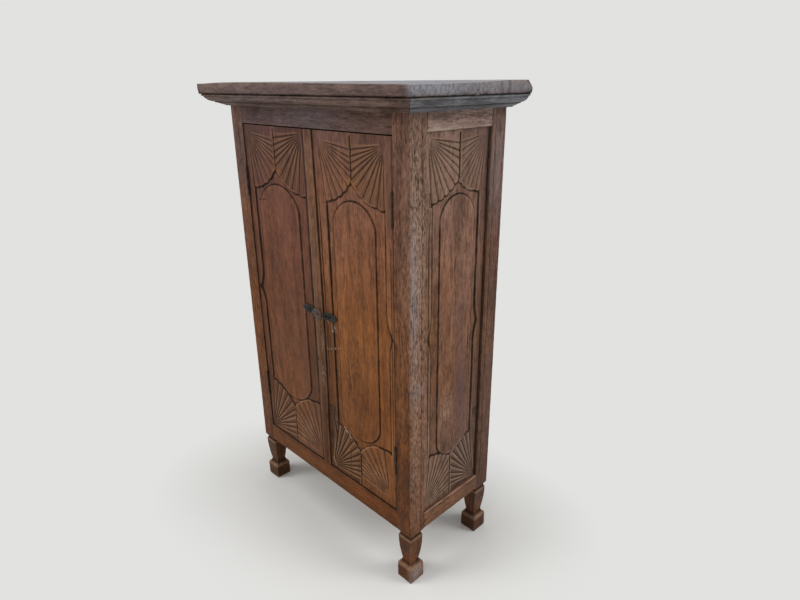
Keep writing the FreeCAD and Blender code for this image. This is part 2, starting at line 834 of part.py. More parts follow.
def cornice_front():
    """The front moulding, mitred at both ends."""
    reach = half_width + side_overhang
    run = moulding_run(lambda p: (-reach, front_y - p[0], p[1]), front_overhang, (2 * reach, 0, 0))
    mitre = prism([(-reach, front_y - front_overhang, moulding_bottom),
                   (reach, front_y - front_overhang, moulding_bottom),
                   (half_width, front_y, moulding_bottom),
                   (-half_width, front_y, moulding_bottom)], (0, 0, moulding_height))
    return run.common(mitre)


def cornice_right():
    """The right moulding, mitred at the front and square at the back."""
    reach = half_width + side_overhang
    start = front_y - front_overhang
    run = moulding_run(lambda p: (half_width + p[0], start, p[1]), side_overhang,
                       (0, back_y - start, 0))
    mitre = prism([(half_width, front_y, moulding_bottom), (reach, start, moulding_bottom),
                   (reach, back_y, moulding_bottom), (half_width, back_y, moulding_bottom)],
                  (0, 0, moulding_height))
    return run.common(mitre)


# Inside: back boards, floor, shelves, cleats, door stop

def back_board(k):
    """One upright back board; the outer ones have their edges in the posts."""
    whole = back_groove_plate(0)
    width = (2 * opening_half + 2 * tongue_length) / back_board_count
    left = -opening_half - tongue_length + k * width
    x0 = left + (board_gap / 2 if k else 0)
    x1 = left + width - (board_gap / 2 if k < back_board_count - 1 else 0)
    return whole.common(box(x0, x1, front_y, back_y, 0, full_height))


def post_room():
    """The four posts with fitting room, for notching boards round them."""
    inner = half_width - post_size - fitting_gap
    tools = []
    for x0, x1 in ((-half_width, -inner), (inner, half_width)):
        for y0, y1 in ((front_y, front_y + post_size + fitting_gap),
                       (back_y - post_size - fitting_gap, back_y)):
            tools.append(box(x0, x1, y0, y1, 0, full_height))
    return Part.makeCompound(tools)


def floor_board(front):
    y0 = front_y + rail_thickness
    y1 = back_y - rail_thickness - fitting_gap
    seam = (y0 + y1) / 2
    x = panel_back - fitting_gap
    if front:
        board = box(-x, x, y0, seam - board_gap / 2, floor_top - floor_thickness, floor_top)
    else:
        board = box(-x, x, seam + board_gap / 2, y1, floor_top - floor_thickness, floor_top)
    return board.cut(post_room())


def floor_cleat(front):
    y0 = front_y + rail_thickness if front else back_y - rail_thickness - cleat_width
    x = opening_half - fitting_gap
    z1 = floor_top - floor_thickness
    return box(-x, x, y0, y0 + cleat_width, z1 - cleat_height, z1)


def shelf(rise_share):
    z1 = floor_top + inner_height * rise_share
    x = panel_back - fitting_gap
    y1 = back_y - back_board_setback - back_board_thickness - fitting_gap
    board = box(-x, x, front_y + post_size + fitting_gap, y1, z1 - shelf_thickness, z1)
    return board.cut(post_room())


def shelf_cleat(rise_share):
    """A right cleat on the side panel's inner face, under a shelf."""
    z1 = floor_top + inner_height * rise_share - shelf_thickness
    return box(panel_back - cleat_width, panel_back, front_y + post_size,
               back_y - post_size, z1 - cleat_height, z1)


def door_stop():
    """A strip behind the top rail that the doors close against."""
    x = opening_half - fitting_gap
    y0 = front_y + rail_thickness
    z0 = opening_top - door_gap - stop_lap
    return box(-x, x, y0, y0 + stop_thickness, z0, z0 + stop_height)


def build_frame():
    for name, at_back in (("front", False), ("back", True)):
        post = right_post(at_back)
        save(post, "post_" + name + "_right")
        save(mirrored(post), "post_" + name + "_left")
    for name, y0, z0, z1 in front_rail_spans():
        save(front_rail(y0, z0, z1), name)
    for name, z0, z1 in side_rail_spans():
        rail = side_rail(z0, z1)
        save(rail, name)
        save(mirrored(rail), name.replace("right", "left"))
    panel = side_panel()
    save(panel, "side_panel_right")
    save(mirrored(panel), "side_panel_left")


def build_inside():
    for k in range(back_board_count):
        save(back_board(k), "back_board_" + str(k + 1))
    for name, front in (("front", True), ("back", False)):
        save(floor_board(front), "floor_board_" + name)
        save(floor_cleat(front), "floor_cleat_" + name)
        save(top_board(front), "top_board_" + name)
    for k, share in enumerate(shelf_rise_shares):
        save(shelf(share), "shelf_" + str(k + 1))
        cleat = shelf_cleat(share)
        save(cleat, "shelf_cleat_right_" + str(k + 1))
        save(mirrored(cleat), "shelf_cleat_left_" + str(k + 1))
    save(door_stop(), "door_stop")


def build_cornice():
    save(cornice_front(), "cornice_front")
    side = cornice_right()
    save(side, "cornice_right")
    save(mirrored(side), "cornice_left")


def build_doors():
    save(left_door_panel(), "left_door_panel")
    save(right_door_panel(), "right_door_panel")
    save(meeting_batten(), "meeting_batten")
    for name, share in zip(("lower", "upper"), ledge_rise_shares):
        save(door_ledge(-door_hinge_edge + ledge_end_gap, left_door_end - ledge_end_gap, share),
             "left_door_ledge_" + name)
        save(door_ledge(right_door_end + ledge_end_gap, door_hinge_edge - ledge_end_gap, share),
             "right_door_ledge_" + name)


def build_hinges():
    for name, share in zip(("lower", "upper"), hinge_rise_shares):
        fixed = hinge_leaf(1, share, (0, 2))
        moving = hinge_leaf(-1, share, (1,))
        pin = hinge_pin(share)
        save(fixed, "right_hinge_post_leaf_" + name)
        save(moving, "right_hinge_door_leaf_" + name)
        save(pin, "right_hinge_pin_" + name)
        save(mirrored(fixed), "left_hinge_post_leaf_" + name)
        save(mirrored(moving), "left_hinge_door_leaf_" + name)
        save(mirrored(pin), "left_hinge_pin_" + name)


def build_latch():
    save(latch_leaf(), "latch_leaf")
    save(latch_pin(), "latch_pin")
    save(hasp(), "hasp")
    save(latch_plate(), "latch_plate")


os.makedirs("parts", exist_ok=True)
build_frame()
build_inside()
build_cornice()
build_doors()
build_hinges()
build_latch()
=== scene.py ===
# The looks of an old carved trastero cabinet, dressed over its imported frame.
# Lengths are metres in the frame of the solids: X to the right, Y to the back, Z up.
import bpy
import json
import math
import numpy as np
from mathutils import Matrix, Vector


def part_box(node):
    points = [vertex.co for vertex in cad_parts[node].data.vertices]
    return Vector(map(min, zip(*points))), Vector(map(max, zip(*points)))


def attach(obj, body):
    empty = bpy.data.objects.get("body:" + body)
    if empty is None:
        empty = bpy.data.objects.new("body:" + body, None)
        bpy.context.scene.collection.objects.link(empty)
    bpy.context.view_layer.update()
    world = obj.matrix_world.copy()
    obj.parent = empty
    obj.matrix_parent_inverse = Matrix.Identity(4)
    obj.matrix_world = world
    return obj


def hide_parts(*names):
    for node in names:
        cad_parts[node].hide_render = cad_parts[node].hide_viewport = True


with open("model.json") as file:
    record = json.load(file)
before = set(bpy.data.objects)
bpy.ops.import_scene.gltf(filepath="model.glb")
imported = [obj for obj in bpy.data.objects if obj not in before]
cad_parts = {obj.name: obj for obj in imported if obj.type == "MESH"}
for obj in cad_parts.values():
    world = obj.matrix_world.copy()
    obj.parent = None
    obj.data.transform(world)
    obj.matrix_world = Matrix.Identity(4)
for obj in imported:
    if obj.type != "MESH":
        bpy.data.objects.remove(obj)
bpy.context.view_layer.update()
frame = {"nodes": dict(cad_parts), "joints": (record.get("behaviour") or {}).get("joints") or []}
mm = 0.001
sharpAngle = math.radians(50)


# A smooth step: 0 below 0, 1 above 1, and 3x^2 - 2x^3 between
def ease(x):
    x = np.clip(x, 0, 1)
    return x * x * (3 - 2 * x)


# The mean of six sine waves in fixed random directions, from -1 to 1
def ripple(points, wave, seed):
    rng = np.random.default_rng(seed)
    total = 0
    for _ in range(6):
        way = rng.normal(size=3)
        way *= 2 * np.pi * rng.uniform(0.6, 1.6) / (wave * np.linalg.norm(way))
        total = total + np.sin(points @ way + rng.uniform(0, 2 * np.pi))
    return total / 6


# Points on the circle through a, b and c, from a to c
def arcThrough(a, b, c, count):
    a, b, c = (np.array(p, float) for p in (a, b, c))
    sides = np.array([b - a, c - b])
    middles = np.array([(a + b) / 2, (b + c) / 2])
    centre = np.linalg.solve(sides, (sides * middles).sum(1))
    angles = np.unwrap([math.atan2(*(p - centre)[::-1]) for p in (a, b, c)])
    turn = np.linspace(angles[0], angles[2], count)
    return centre + np.linalg.norm(a - centre) * np.stack([np.cos(turn), np.sin(turn)], -1)


# Distance to a closed outline, above zero inside it
def insideDistance(u, z, outline):
    nearest, inside = np.full(u.shape, 9.0), np.zeros(u.shape, bool)
    for a, b in zip(outline, np.roll(outline, -1, 0)):
        edge = b - a
        share = ((u - a[0]) * edge[0] + (z - a[1]) * edge[1]) / max(edge @ edge, 1e-14)
        share = np.clip(share, 0, 1)
        nearest = np.minimum(nearest, np.hypot(u - a[0] - share * edge[0],
                                               z - a[1] - share * edge[1]))
        if a[1] != b[1]:
            crossing = a[0] + edge[0] * (z - a[1]) / edge[1]
            inside ^= ((a[1] > z) != (b[1] > z)) & (u < crossing)
    return np.where(inside, nearest, -nearest)


# The mean over a square of cells on a grid, its edges repeated outwards
def soften(values, cells):
    for axis in (0, 1):
        padded = np.concatenate([np.repeat(values.take([0], axis), cells, axis), values,
                                 np.repeat(values.take([-1], axis), cells, axis)], axis)
        size = values.shape[axis]
        values = sum(padded.take(np.arange(k, k + size), axis)
                     for k in range(2 * cells + 1)) / (2 * cells + 1)
    return values


# Soft spots of a tint: each row is a centre, its reach along X, Y and Z, and a strength
def spots(points, rows):
    left = np.ones(points.shape[:-1])
    for row in rows:
        off = (points - np.array(row[:3])) / np.array(row[3:6])
        left = left * (1 - row[6] * np.exp(-(off ** 2).sum(-1)))
    return 1 - left


# One closed ring of points for each station, joined by quads, with a face over both ends.
# A wrapped loft joins its last station to its first instead.
def loft(rings, wrapped=False):
    stations, count = rings.shape[:2]
    row = np.arange(stations if wrapped else stations - 1)[:, None] * count
    above = (row + count) % (stations * count)
    i = np.arange(count)[None, :]
    j = (i + 1) % count
    quads = np.stack([row + i, row + j, above + j, above + i], -1).reshape(-1, 4)
    caps = [] if wrapped else [np.arange(count)[::-1], np.arange(count) + (stations - 1) * count]
    points = rings.reshape(-1, 3)
    a, b, c, d = (points[quads[:, k]] - points.mean(0) for k in range(4))
    volume = (np.cross(a, b) * c).sum() + (np.cross(a, c) * d).sum()
    if volume < 0:
        quads, caps = quads[:, ::-1], [cap[::-1] for cap in caps]
    return points, quads, caps


# Makes one object of several lofts, with its fields, material and body, and hides the nodes it
# stands for
def makePiece(piece, lofts, material, fields=None):
    points, loops, sizes, offset = [], [], [], 0
    for part, quads, caps in lofts:
        points.append(part)
        loops += [quads.ravel() + offset] + [cap + offset for cap in caps]
        sizes += [4] * len(quads) + [len(cap) for cap in caps]
        offset += len(part)
    points, loops = np.concatenate(points), np.concatenate(loops)
    mesh = bpy.data.meshes.new(piece["name"])
    mesh.vertices.add(len(points))
    mesh.vertices.foreach_set("co", points.astype(np.float32).ravel())
    mesh.loops.add(len(loops))
    mesh.loops.foreach_set("vertex_index", loops.astype(np.int32))
    mesh.polygons.add(len(sizes))
    mesh.polygons.foreach_set("loop_start", np.cumsum([0] + sizes[:-1]).astype(np.int32))
    mesh.polygons.foreach_set("use_smooth", np.ones(len(sizes), bool))
    mesh.update(calc_edges=True)
    mesh.set_sharp_from_angle(angle=sharpAngle)
    for name, values in (fields or {}).items():
        attribute = mesh.attributes.new(name, "FLOAT", "POINT")
        attribute.data.foreach_set("value", np.asarray(values, np.float32).ravel())
    thing = bpy.data.objects.new(piece["name"], mesh)
    bpy.context.scene.collection.objects.link(thing)
    mesh.materials.append(material)
    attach(thing, piece["body"])
    if piece.get("nodes"):
        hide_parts(*piece["nodes"])
    return thing


# A rounded rectangle as shares: corner or side place, outward direction, the two
# corners that a point lies between, and how far it is from the first to the second
def ringShares(perSide, perCorner=4):
    corners = np.array([(1, -1), (1, 1), (-1, 1), (-1, -1)], float)
    place, out, between = [], [], []
    for k in range(4):
        turn = np.linspace(k - 1, k, perCorner) * np.pi / 2
        place += [corners[k]] * perCorner
        out += list(np.stack([np.cos(turn), np.sin(turn)], -1))
        between += [(k, k, 0)] * perCorner
        step = np.linspace(0, 1, perSide[k % 2] + 2)[1:-1]
        place += [corners[k] * (1 - s) + corners[(k + 1) % 4] * s for s in step]
        out += [(round(math.cos(k * math.pi / 2)), round(math.sin(k * math.pi / 2)))] * len(step)
        between += [(k, (k + 1) % 4, s) for s in step]
    return np.array(place), np.array(out, float), np.array(between)


# Stations along a timber whose ends are rounded off: places and how far each is drawn in
def roundedStations(low, high, rounding, step):
    turn = np.linspace(0, np.pi / 2, 4)
    end, drawn = rounding * (1 - np.cos(turn)), rounding * (1 - np.sin(turn))
    count = max(int((high - low) / step), 1)
    middle = np.linspace(low + rounding, high - rounding, count + 2)[1:-1]
    places = np.concatenate([low + end, middle, (high - end)[::-1]])
    return places, np.concatenate([drawn, middle * 0, drawn[::-1]])


timberDefaults = dict(rounding=1.4 * mm, spacing=9 * mm, step=14 * mm, wobble=0.5 * mm,
                      wave=0.11, nibble=0.8 * mm, nibbleWave=0.023)


# A plain timber along one axis with worn edges: rounded rectangles carried along it,
# each point drawn in by a slow ripple. Faces that look at a slit get painted shade.
def timber(piece, low, high, material):
    piece = {**timberDefaults, **piece}
    axis, rounding = piece["along"], piece["rounding"]
    low, high = np.array(low, float), np.array(high, float)
    u, v = (axis + 1) % 3, (axis + 2) % 3
    half, middle = (high - low) / 2, (high + low) / 2
    perSide = [max(int(2 * half[k] / piece["spacing"]), 1) for k in (v, u)]
    place, out, _ = ringShares(perSide)
    station, drawn = roundedStations(low[axis], high[axis], rounding, piece["step"])
    rings = np.zeros((len(station), len(place), 3))
    away = np.zeros_like(rings)
    for k, side in ((u, 0), (v, 1)):
        rings[..., k] = (middle[k] + place[:, side] * (half[k] - rounding)
                         + out[:, side] * (rounding - drawn[:, None]))
        away[..., k] = out[:, side]
    rings[..., axis] = station[:, None]
    wobble = 0.5 + 0.5 * ripple(rings, piece["wave"], piece["seed"])
    nibble = np.clip(ripple(rings, piece["nibbleWave"], piece["seed"] + 3), 0, 1)
    arris = np.abs(2 * out[:, 0] * out[:, 1])[None, :] * np.ones((len(station), 1))
    rings -= away * (piece["wobble"] * wobble + piece["nibble"] * nibble * arris)[..., None]
    fields = {"wear": arris * (0.6 + 0.4 * ripple(rings, 0.05, piece["seed"] + 7)),
              "grime": 0.75 * (drawn[:, None] > 0) + 0 * arris}
    # painted shade on the faces that look at a slit
    if "grimed" in piece:
        slit = np.clip(away @ np.array(piece["grimed"], float) * 1.6 - 0.8, 0, 0.9)
        fields["grime"] = np.maximum(fields["grime"], slit)
    for tint, listed in piece.get("tints", {}).items():
        fields[tint] = np.maximum(spots(rings, listed), fields.get(tint, 0))
    return makePiece(piece, [loft(rings)], material, fields)


# Pushes points away from an upright axis where they are nearer than the radius,
# between two heights: the room for a hinge's knuckles
def clearRound(points, axis, radius, low, high):
    away = points[..., :2] - np.array(axis)
    far = np.linalg.norm(away, axis=-1)
    near = (far < radius) & (points[..., 2] > low) & (points[..., 2] < high)
    scale = np.where(near, radius / np.maximum(far, 1e-6), 1.0)
    points[..., :2] = np.array(axis) + away * scale[..., None]
    return points


# Puts a value or a link into a socket; colours are given without their alpha
def plug(tree, socket, item):
    if isinstance(item, Value):
        tree.links.new(item.socket, socket)
    else:
        socket.default_value = (*item, 1.0) if socket.type == "RGBA" else item


# A socket whose operators each add one Math node
class Value:
    def __init__(self, tree, socket):
        self.tree, self.socket = tree, socket

    def math(self, operation, *others):
        node = self.tree.nodes.new("ShaderNodeMath")
        node.operation = operation
        for socket, item in zip(node.inputs, (self,) + others):
            plug(self.tree, socket, item)
        return Value(self.tree, node.outputs[0])

    def __add__(self, other):
        return self.math("ADD", other)

    def __mul__(self, other):
        return self.math("MULTIPLY", other)

    def __sub__(self, other):
        return self.math("SUBTRACT", other)

    def __rsub__(self, other):
        return self.math("MULTIPLY_ADD", -1.0, other)

    def __truediv__(self, other):
        return self.math("DIVIDE", other)

    __radd__, __rmul__ = __add__, __mul__

    def clip(self):
        return self.math("MAXIMUM", 0.0).math("MINIMUM", 1.0)

    # 0 below low, 1 above high and a straight line between
    def between(self, low, high):
        return ((self - low) / (high - low)).clip()


# A material being made: node() adds any node but Math
class Finish:
    def __init__(self, name):
        self.material = bpy.data.materials.new(name)
        self.material.use_nodes = True
        self.tree = self.material.node_tree
        self.tree.nodes.clear()
        self.place = self.node("ShaderNodeTexCoord", {}, {}, "Object")

    def node(self, kind, settings, sockets, output=0):
        node = self.tree.nodes.new(kind)
        for name, value in settings.items():
            setattr(node, name, value)
        for name, item in sockets.items():
            plug(self.tree, node.inputs[name], item)
        return Value(self.tree, node.outputs[output] if node.outputs else None)

    def stretched(self, scale, vector):
        return self.node("ShaderNodeMapping", {}, {"Vector": vector, "Scale": scale})

    def noise(self, vector, scale, detail, roughness, output=0):
        return self.node("ShaderNodeTexNoise", {}, {"Vector": vector, "Scale": scale,
                                                    "Detail": detail, "Roughness": roughness},
                         output)

    def mix(self, factor, first, second, blend="MIX"):
        return self.node("ShaderNodeMix", {"data_type": "RGBA", "blend_type": blend},
                         {0: factor, 6: first, 7: second}, 2)

    def field(self, name):
        return self.node("ShaderNodeAttribute", {"attribute_name": name}, {}, "Fac")

    def height(self):
        return self.node("ShaderNodeSeparateXYZ", {}, {0: self.place}, "Z")

    def surface(self, colour, roughness, bump, depth, metallic=0.0, specular=0.5):
        normal = self.node("ShaderNodeBump", {}, {"Height": bump, "Distance": depth,
                                                  "Strength": 0.9})
        shader = self.node("ShaderNodeBsdfPrincipled", {},
                           {"Base Color": colour, "Roughness": roughness, "Metallic": metallic,
                            "Specular IOR Level": specular, "Normal": normal})
        self.node("ShaderNodeOutputMaterial", {}, {"Surface": shader})
        return self.material


# Tints that all the old wood shares. Some of them paint light: the near-black grime tint also
# paints shade in gaps and recesses, the stain tint paints shade in one recess, the bluish-grey
# tint is a painted sheen, and the pale and scuff tints also paint highlights.
woodTints = dict(
    grime=(0.016, 0.010, 0.007), warm=(0.34, 0.125, 0.026), stain=(0.030, 0.015, 0.009),
    pale=(0.34, 0.225, 0.165), bloom=(0.30, 0.315, 0.36), plum=(0.125, 0.066, 0.064),
    scuff=(0.44, 0.37, 0.31), golden=(1.16, 1.00, 0.74), dim=(0.50, 0.47, 0.45),
    bright=(1.50, 1.53, 1.55))
# Each noise: its stretch along the grain, whether the grain bends it, scale, detail, roughness
woodNoises = dict(
    broad=(0.045, True, 34.0, 3.0, 0.55), streak=(0.13, True, 120.0, 4.0, 0.66),
    fibre=(0.13, True, 400.0, 2.0, 0.60), mottle=(0.55, False, 30.0, 5.0, 0.68),
    grit=(0.34, False, 190.0, 3.0, 0.65), blotch=(1.0, False, 5.0, 4.0, 0.62),
    patch=(1.0, False, 1.9, 2.0, 0.50), fleck=(0.24, True, 165.0, 3.0, 0.62),
    pore=(0.07, True, 600.0, 2.0, 0.50), crack=(0.045, True, 19.0, 2.0, 0.40))
toneShares = dict(broad=1.3, streak=1.7, fibre=1.2, mottle=1.5, grit=0.8, blotch=0.9)
bumpShares = dict(broad=0.5, streak=0.6, fibre=0.4, mottle=0.8)
# Each mask: the noise it is cut from, and where it starts and is full
woodMasks = dict(
    flecks=("fleck", 0.565, 0.60), pores=("pore", 0.60, 0.70), patchy=("patch", 0.42, 0.62),
    checked=("blotch", 0.50, 0.60), uneven=("blotch", 0.32, 0.62), streaky=("streak", 0.38, 0.60),
    ragged=("mottle", 0.36, 0.62), gritty=("grit", 0.43, 0.56))
# How a field of the piece lays its tint on: a mask, its weight and what is there without it
tintMasks = dict(
    warm=("streaky", 0.7, 0.5), stain=("ragged", 0.9, 0.35), plum=("streaky", 0.3, 0.8),
    pale=("rubbed", 1.0, 0.0), bloom=("streaky", 0.6, 0.5), grime=("ragged", -0.5, 1.3),
    scuff=("streaky", 1.0, 0.35))
woodDefaults = dict(
    contrast=1.0, golden=0.8, flecks=0.45, pores=0.3, cracks=0.5, wear=0.6,
    worn=(0.30, 0.19, 0.125), roughness=0.50, depth=1.3, specular=0.08,
    lowTo=(0.25, 0.85), highTo=(0.85, 1.36), bend=0.045, crackHalf=0.011)


# Old waxed wood. The ground colour changes with height (its greyer top is a painted sheen), is
# warmed in patches, and is
# multiplied by a tone: the weighted sum of the noises of toneShares. Flecks, pores and
# checks darken it, and the piece's own fields tint it, some of them with painted shade, sheen and
# highlights.
def makeWood(name, look):
    f = Finish(name + "Wood")
    look = {**woodDefaults, "low": look["mid"], "high": look["mid"], **look}
    bend = f.noise(f.place, 2.4, 1.0, 0.5, "Color")
    bent = f.node("ShaderNodeVectorMath", {"operation": "MULTIPLY_ADD"},
                  {0: bend, 1: (look["bend"],) * 3, 2: f.place})
    n = {}
    for key, (share, bends, scale, detail, rough) in woodNoises.items():
        stretch = [share if axis == look["grain"] else 1.0 for axis in range(3)]
        n[key] = f.noise(f.stretched(stretch, bent if bends else f.place), scale, detail, rough)
    m = {key: n[source].between(low, high) for key, (source, low, high) in woodMasks.items()}
    m["rubbed"] = m["gritty"] * 0.85 + m["ragged"] * 0.35

    def tinted(colour, names):
        for key in names:
            mask, weight, base = tintMasks[key]
            amount = (f.field(key) * (m[mask] * weight + base)).clip()
            colour = f.mix(amount, colour, woodTints[key])
        return colour
    tone = sum((n[key] - 0.5) * share for key, share in toneShares.items())
    tone = f.mix((tone * look["contrast"] + 0.5).clip(), woodTints["dim"], woodTints["bright"])
    height = f.height()
    colour = f.mix(height.between(*look["lowTo"]), look["low"], look["mid"])
    colour = f.mix(height.between(*look["highTo"]), colour, look["high"])
    golden = f.mix(1.0, colour, woodTints["golden"], "MULTIPLY")
    colour = f.mix(m["patchy"] * look["golden"], colour, golden)
    colour = tinted(f.mix(1.0, colour, tone, "MULTIPLY"),
                    ("warm", "stain", "plum", "pale", "bloom"))
    crack = (n["crack"] - 0.5).math("ABSOLUTE").between(0.0, look["crackHalf"])
    flecks = m["flecks"] * (f.field("pale") * 0.25 + look["flecks"] * 0.5)
    dark = (flecks * (m["uneven"] * 0.7 + 0.3) + m["pores"] * look["pores"]
            + (1.0 - crack) * m["checked"] * look["cracks"]).clip()
    colour = f.mix(dark, colour, woodTints["grime"])
    wear = (f.field("wear") * (m["ragged"] * 0.6 + 0.4) * look["wear"]).clip()
    colour = tinted(f.mix(wear, colour, look["worn"]), ("grime", "scuff"))
    roughness = (look["roughness"] + (n["blotch"] - 0.5) * 0.3 + (n["streak"] - 0.5) * 0.35
                 + f.field("grime") * 0.25).clip()
    bump = sum(n[key] * share for key, share in bumpShares.items()) - dark * 1.1
    return f.surface(colour, roughness, bump, look["depth"] * mm, specular=look["specular"])


# Wrought iron: a dark and a light colour mixed by its pits, then rust and rubbed places
def makeIron(name, look):
    f = Finish(name)
    hammer = f.noise(f.place, 130.0, 2.0, 0.5)
    pits = f.noise(f.place, 700.0, 3.0, 0.6)
    rust = f.noise(f.place, 60.0, 4.0, 0.65).between(look["rustFrom"], look["rustFrom"] + 0.16)
    colour = f.mix(pits.between(0.35, 0.7), look["dark"], look["light"])
    colour = f.mix(rust * 0.85, colour, look["rust"])
    colour = f.mix((f.field("wear") * 0.8).clip(), colour, look["rubbed"])
    roughness = (hammer * 0.25 + rust * 0.3 + 0.36).clip()
    return f.surface(colour, roughness, hammer + pits * 0.4, 1.2 * mm,
                     metallic=(0.75 - rust * 0.6).clip())


# Ground colours of each wood at the bottom, the middle and the top of the cabinet, and
# where it is worn; the grain runs along this axis. The greyer, cooler top colours are partly a
# painted sheen, the reflection of the pale surroundings, over the wood's own colour.
inside = dict(roughness=0.7, contrast=0.7, flecks=0.3)
woods = dict(
    leftDoor=dict(
        grain=2, low=(0.142, 0.052, 0.020), mid=(0.130, 0.050, 0.026), high=(0.145, 0.066, 0.057),
        worn=(0.235, 0.120, 0.066), contrast=0.80, flecks=0.55, wear=0.9),
    rightDoor=dict(
        grain=2, low=(0.138, 0.047, 0.012), mid=(0.205, 0.076, 0.025), high=(0.165, 0.086, 0.074),
        worn=(0.250, 0.125, 0.060), contrast=0.90, flecks=0.60, wear=0.9),
    sidePanel=dict(
        grain=2, low=(0.150, 0.084, 0.062), mid=(0.190, 0.090, 0.052), high=(0.188, 0.122, 0.118),
        worn=(0.285, 0.185, 0.128), contrast=1.05, flecks=0.7, wear=0.9),
    upright=dict(
        grain=2, low=(0.112, 0.041, 0.016), mid=(0.148, 0.058, 0.023), high=(0.150, 0.084, 0.070),
        contrast=1.25, flecks=0.8, cracks=0.6, wear=0.9, depth=2.4),
    frontRail=dict(
        grain=0, mid=(0.112, 0.036, 0.009), high=(0.108, 0.067, 0.064), contrast=0.95, wear=0.75),
    # the pale worn colour also paints the highlight on the side top rail's polished lower bevel
    sideRail=dict(
        grain=1, mid=(0.146, 0.068, 0.039), high=(0.225, 0.165, 0.170), worn=(0.50, 0.39, 0.33),
        contrast=1.15, wear=1.0),
    frontCornice=dict(
        grain=0, mid=(0.150, 0.101, 0.090), worn=(0.28, 0.21, 0.18), contrast=1.2, golden=0.4,
        cracks=0.8, wear=0.85),
    # its blue-grey colour is a painted sheen of the pale surroundings over the wood
    sideCornice=dict(
        grain=1, mid=(0.148, 0.150, 0.167), worn=(0.34, 0.34, 0.37), contrast=1.3, golden=0.1,
        cracks=0.9, wear=0.85),
    topBoards=dict(
        grain=0, mid=(0.143, 0.086, 0.076), worn=(0.30, 0.25, 0.23), contrast=1.1, golden=0.2,
        cracks=0.9, wear=0.8, specular=0.3),
    batten=dict(
        grain=2, low=(0.088, 0.024, 0.004), mid=(0.150, 0.071, 0.036), high=(0.156, 0.082, 0.062),
        worn=(0.22, 0.125, 0.070), contrast=1.1, wear=0.5),
    insideUpright=dict(inside, grain=2, mid=(0.18, 0.115, 0.072)),
    insideAcross=dict(inside, grain=0, mid=(0.18, 0.115, 0.072)),
    insideCleat=dict(inside, grain=1, mid=(0.17, 0.105, 0.068)))
irons = dict(
    blackIron=dict(dark=(0.006, 0.006, 0.006), light=(0.050, 0.052, 0.048),
                   rust=(0.030, 0.016, 0.009), rubbed=(0.30, 0.30, 0.31), rustFrom=0.52),
    greyIron=dict(dark=(0.034, 0.026, 0.024), light=(0.125, 0.098, 0.090),
                  rust=(0.085, 0.050, 0.034), rubbed=(0.40, 0.38, 0.36), rustFrom=0.42),
    brownedIron=dict(dark=(0.020, 0.014, 0.011), light=(0.050, 0.034, 0.026),
                     rust=(0.060, 0.028, 0.014), rubbed=(0.12, 0.09, 0.07), rustFrom=0.40))
wood = {name: makeWood(name, look) for name, look in woods.items()}
iron = {name: makeIron(name, look) for name, look in irons.items()}
print("materials made")


# The low and the high corner of a node's box
def corners(node):
    low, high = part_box(node)
    return np.array(low), np.array(high)


rightPostLow, rightPostHigh = corners("post_front_right")
backPostLow, backPostHigh = corners("post_back_right")
bottomRailLow, bottomRailHigh = corners("rail_right_bottom")
topRailLow, _ = corners("rail_right_top")
postSize = rightPostHigh[0] - rightPostLow[0]
frontY, backY = rightPostLow[1], backPostHigh[1]
joints = {joint["name"]: joint for joint in frame["joints"]}
hingeAxis = np.array(joints["right_door_swing"]["pos_m"][:2])
hingeBoxes = [corners("right_hinge_pin_" + level) for level in ("lower", "upper")]
hinge = dict(room=4.2 * mm, endRoom=0.7 * mm, leafEase=0.4 * mm, leafBack=26 * mm,
             leafNear=1.2 * mm)


# Clears the hinge room, and lets the leaves' places in by a little, on one side
def clearHinges(points, side, leafPlane, into):
    axis = (side * hingeAxis[0], hingeAxis[1])
    for low, high in hingeBoxes:
        clearRound(points, axis, hinge["room"], low[2] - hinge["endRoom"],
                   high[2] + hinge["endRoom"])
        leaf = ((np.abs(points[..., 0] - side * leafPlane) < hinge["leafNear"])
                & (points[..., 1] < hingeAxis[1] + hinge["leafBack"])
                & (points[..., 2] > low[2]) & (points[..., 2] < high[2]))
        points[..., 0] += np.where(leaf, side * into * hinge["leafEase"], 0)
    return points


# Shares of each field's width and height, from its lower left corner seen from outside
leftDoorLayout = dict(
    topMeet=(0.501, 0.894), bottomMeet=(0.498, 0.1225), topLeft=(0.074, 0.977),
    topRight=(0.944, 0.987), bottomLeft=(0.024, 0.006), bottomRight=(0.976, 0.016),
    sides=(0.097, 0.964), lowerSides=(0.097, 0.964), island=(0.170, 0.820),
    islandEnds=(0.164, 0.841), islandShoulders=(0.230, 0.778),
    leftCusp=(0.017, 0.510), rightCusp=None)
rightDoorLayout = dict(
    topMeet=(0.492, 0.893), bottomMeet=(0.483, 0.1066), topLeft=(0.061, 0.976),
    topRight=(0.905, 0.978), bottomLeft=(0.045, 0.011), bottomRight=(0.905, 0.027),
    sides=(0.133, 0.908), lowerSides=(0.136, 0.940), island=(0.222, 0.772),
    islandEnds=(0.159, 0.837), islandShoulders=(0.220, 0.779),
    leftCusp=None, rightCusp=(0.982, 0.513))
sideLayout = dict(
    topMeet=(0.532, 0.893), bottomMeet=(0.496, 0.122), topLeft=(0.060, 0.986),
    topRight=(0.955, 0.984), bottomLeft=(0.045, 0.010), bottomRight=(0.960, 0.010),
    sides=(0.125, 0.871), lowerSides=(0.125, 0.871), island=(0.261, 0.795),
    islandEnds=(0.135, 0.852), islandShoulders=(0.182, 0.800),
    leftCusp=(0.075, 0.508), rightCusp=(0.925, 0.508))
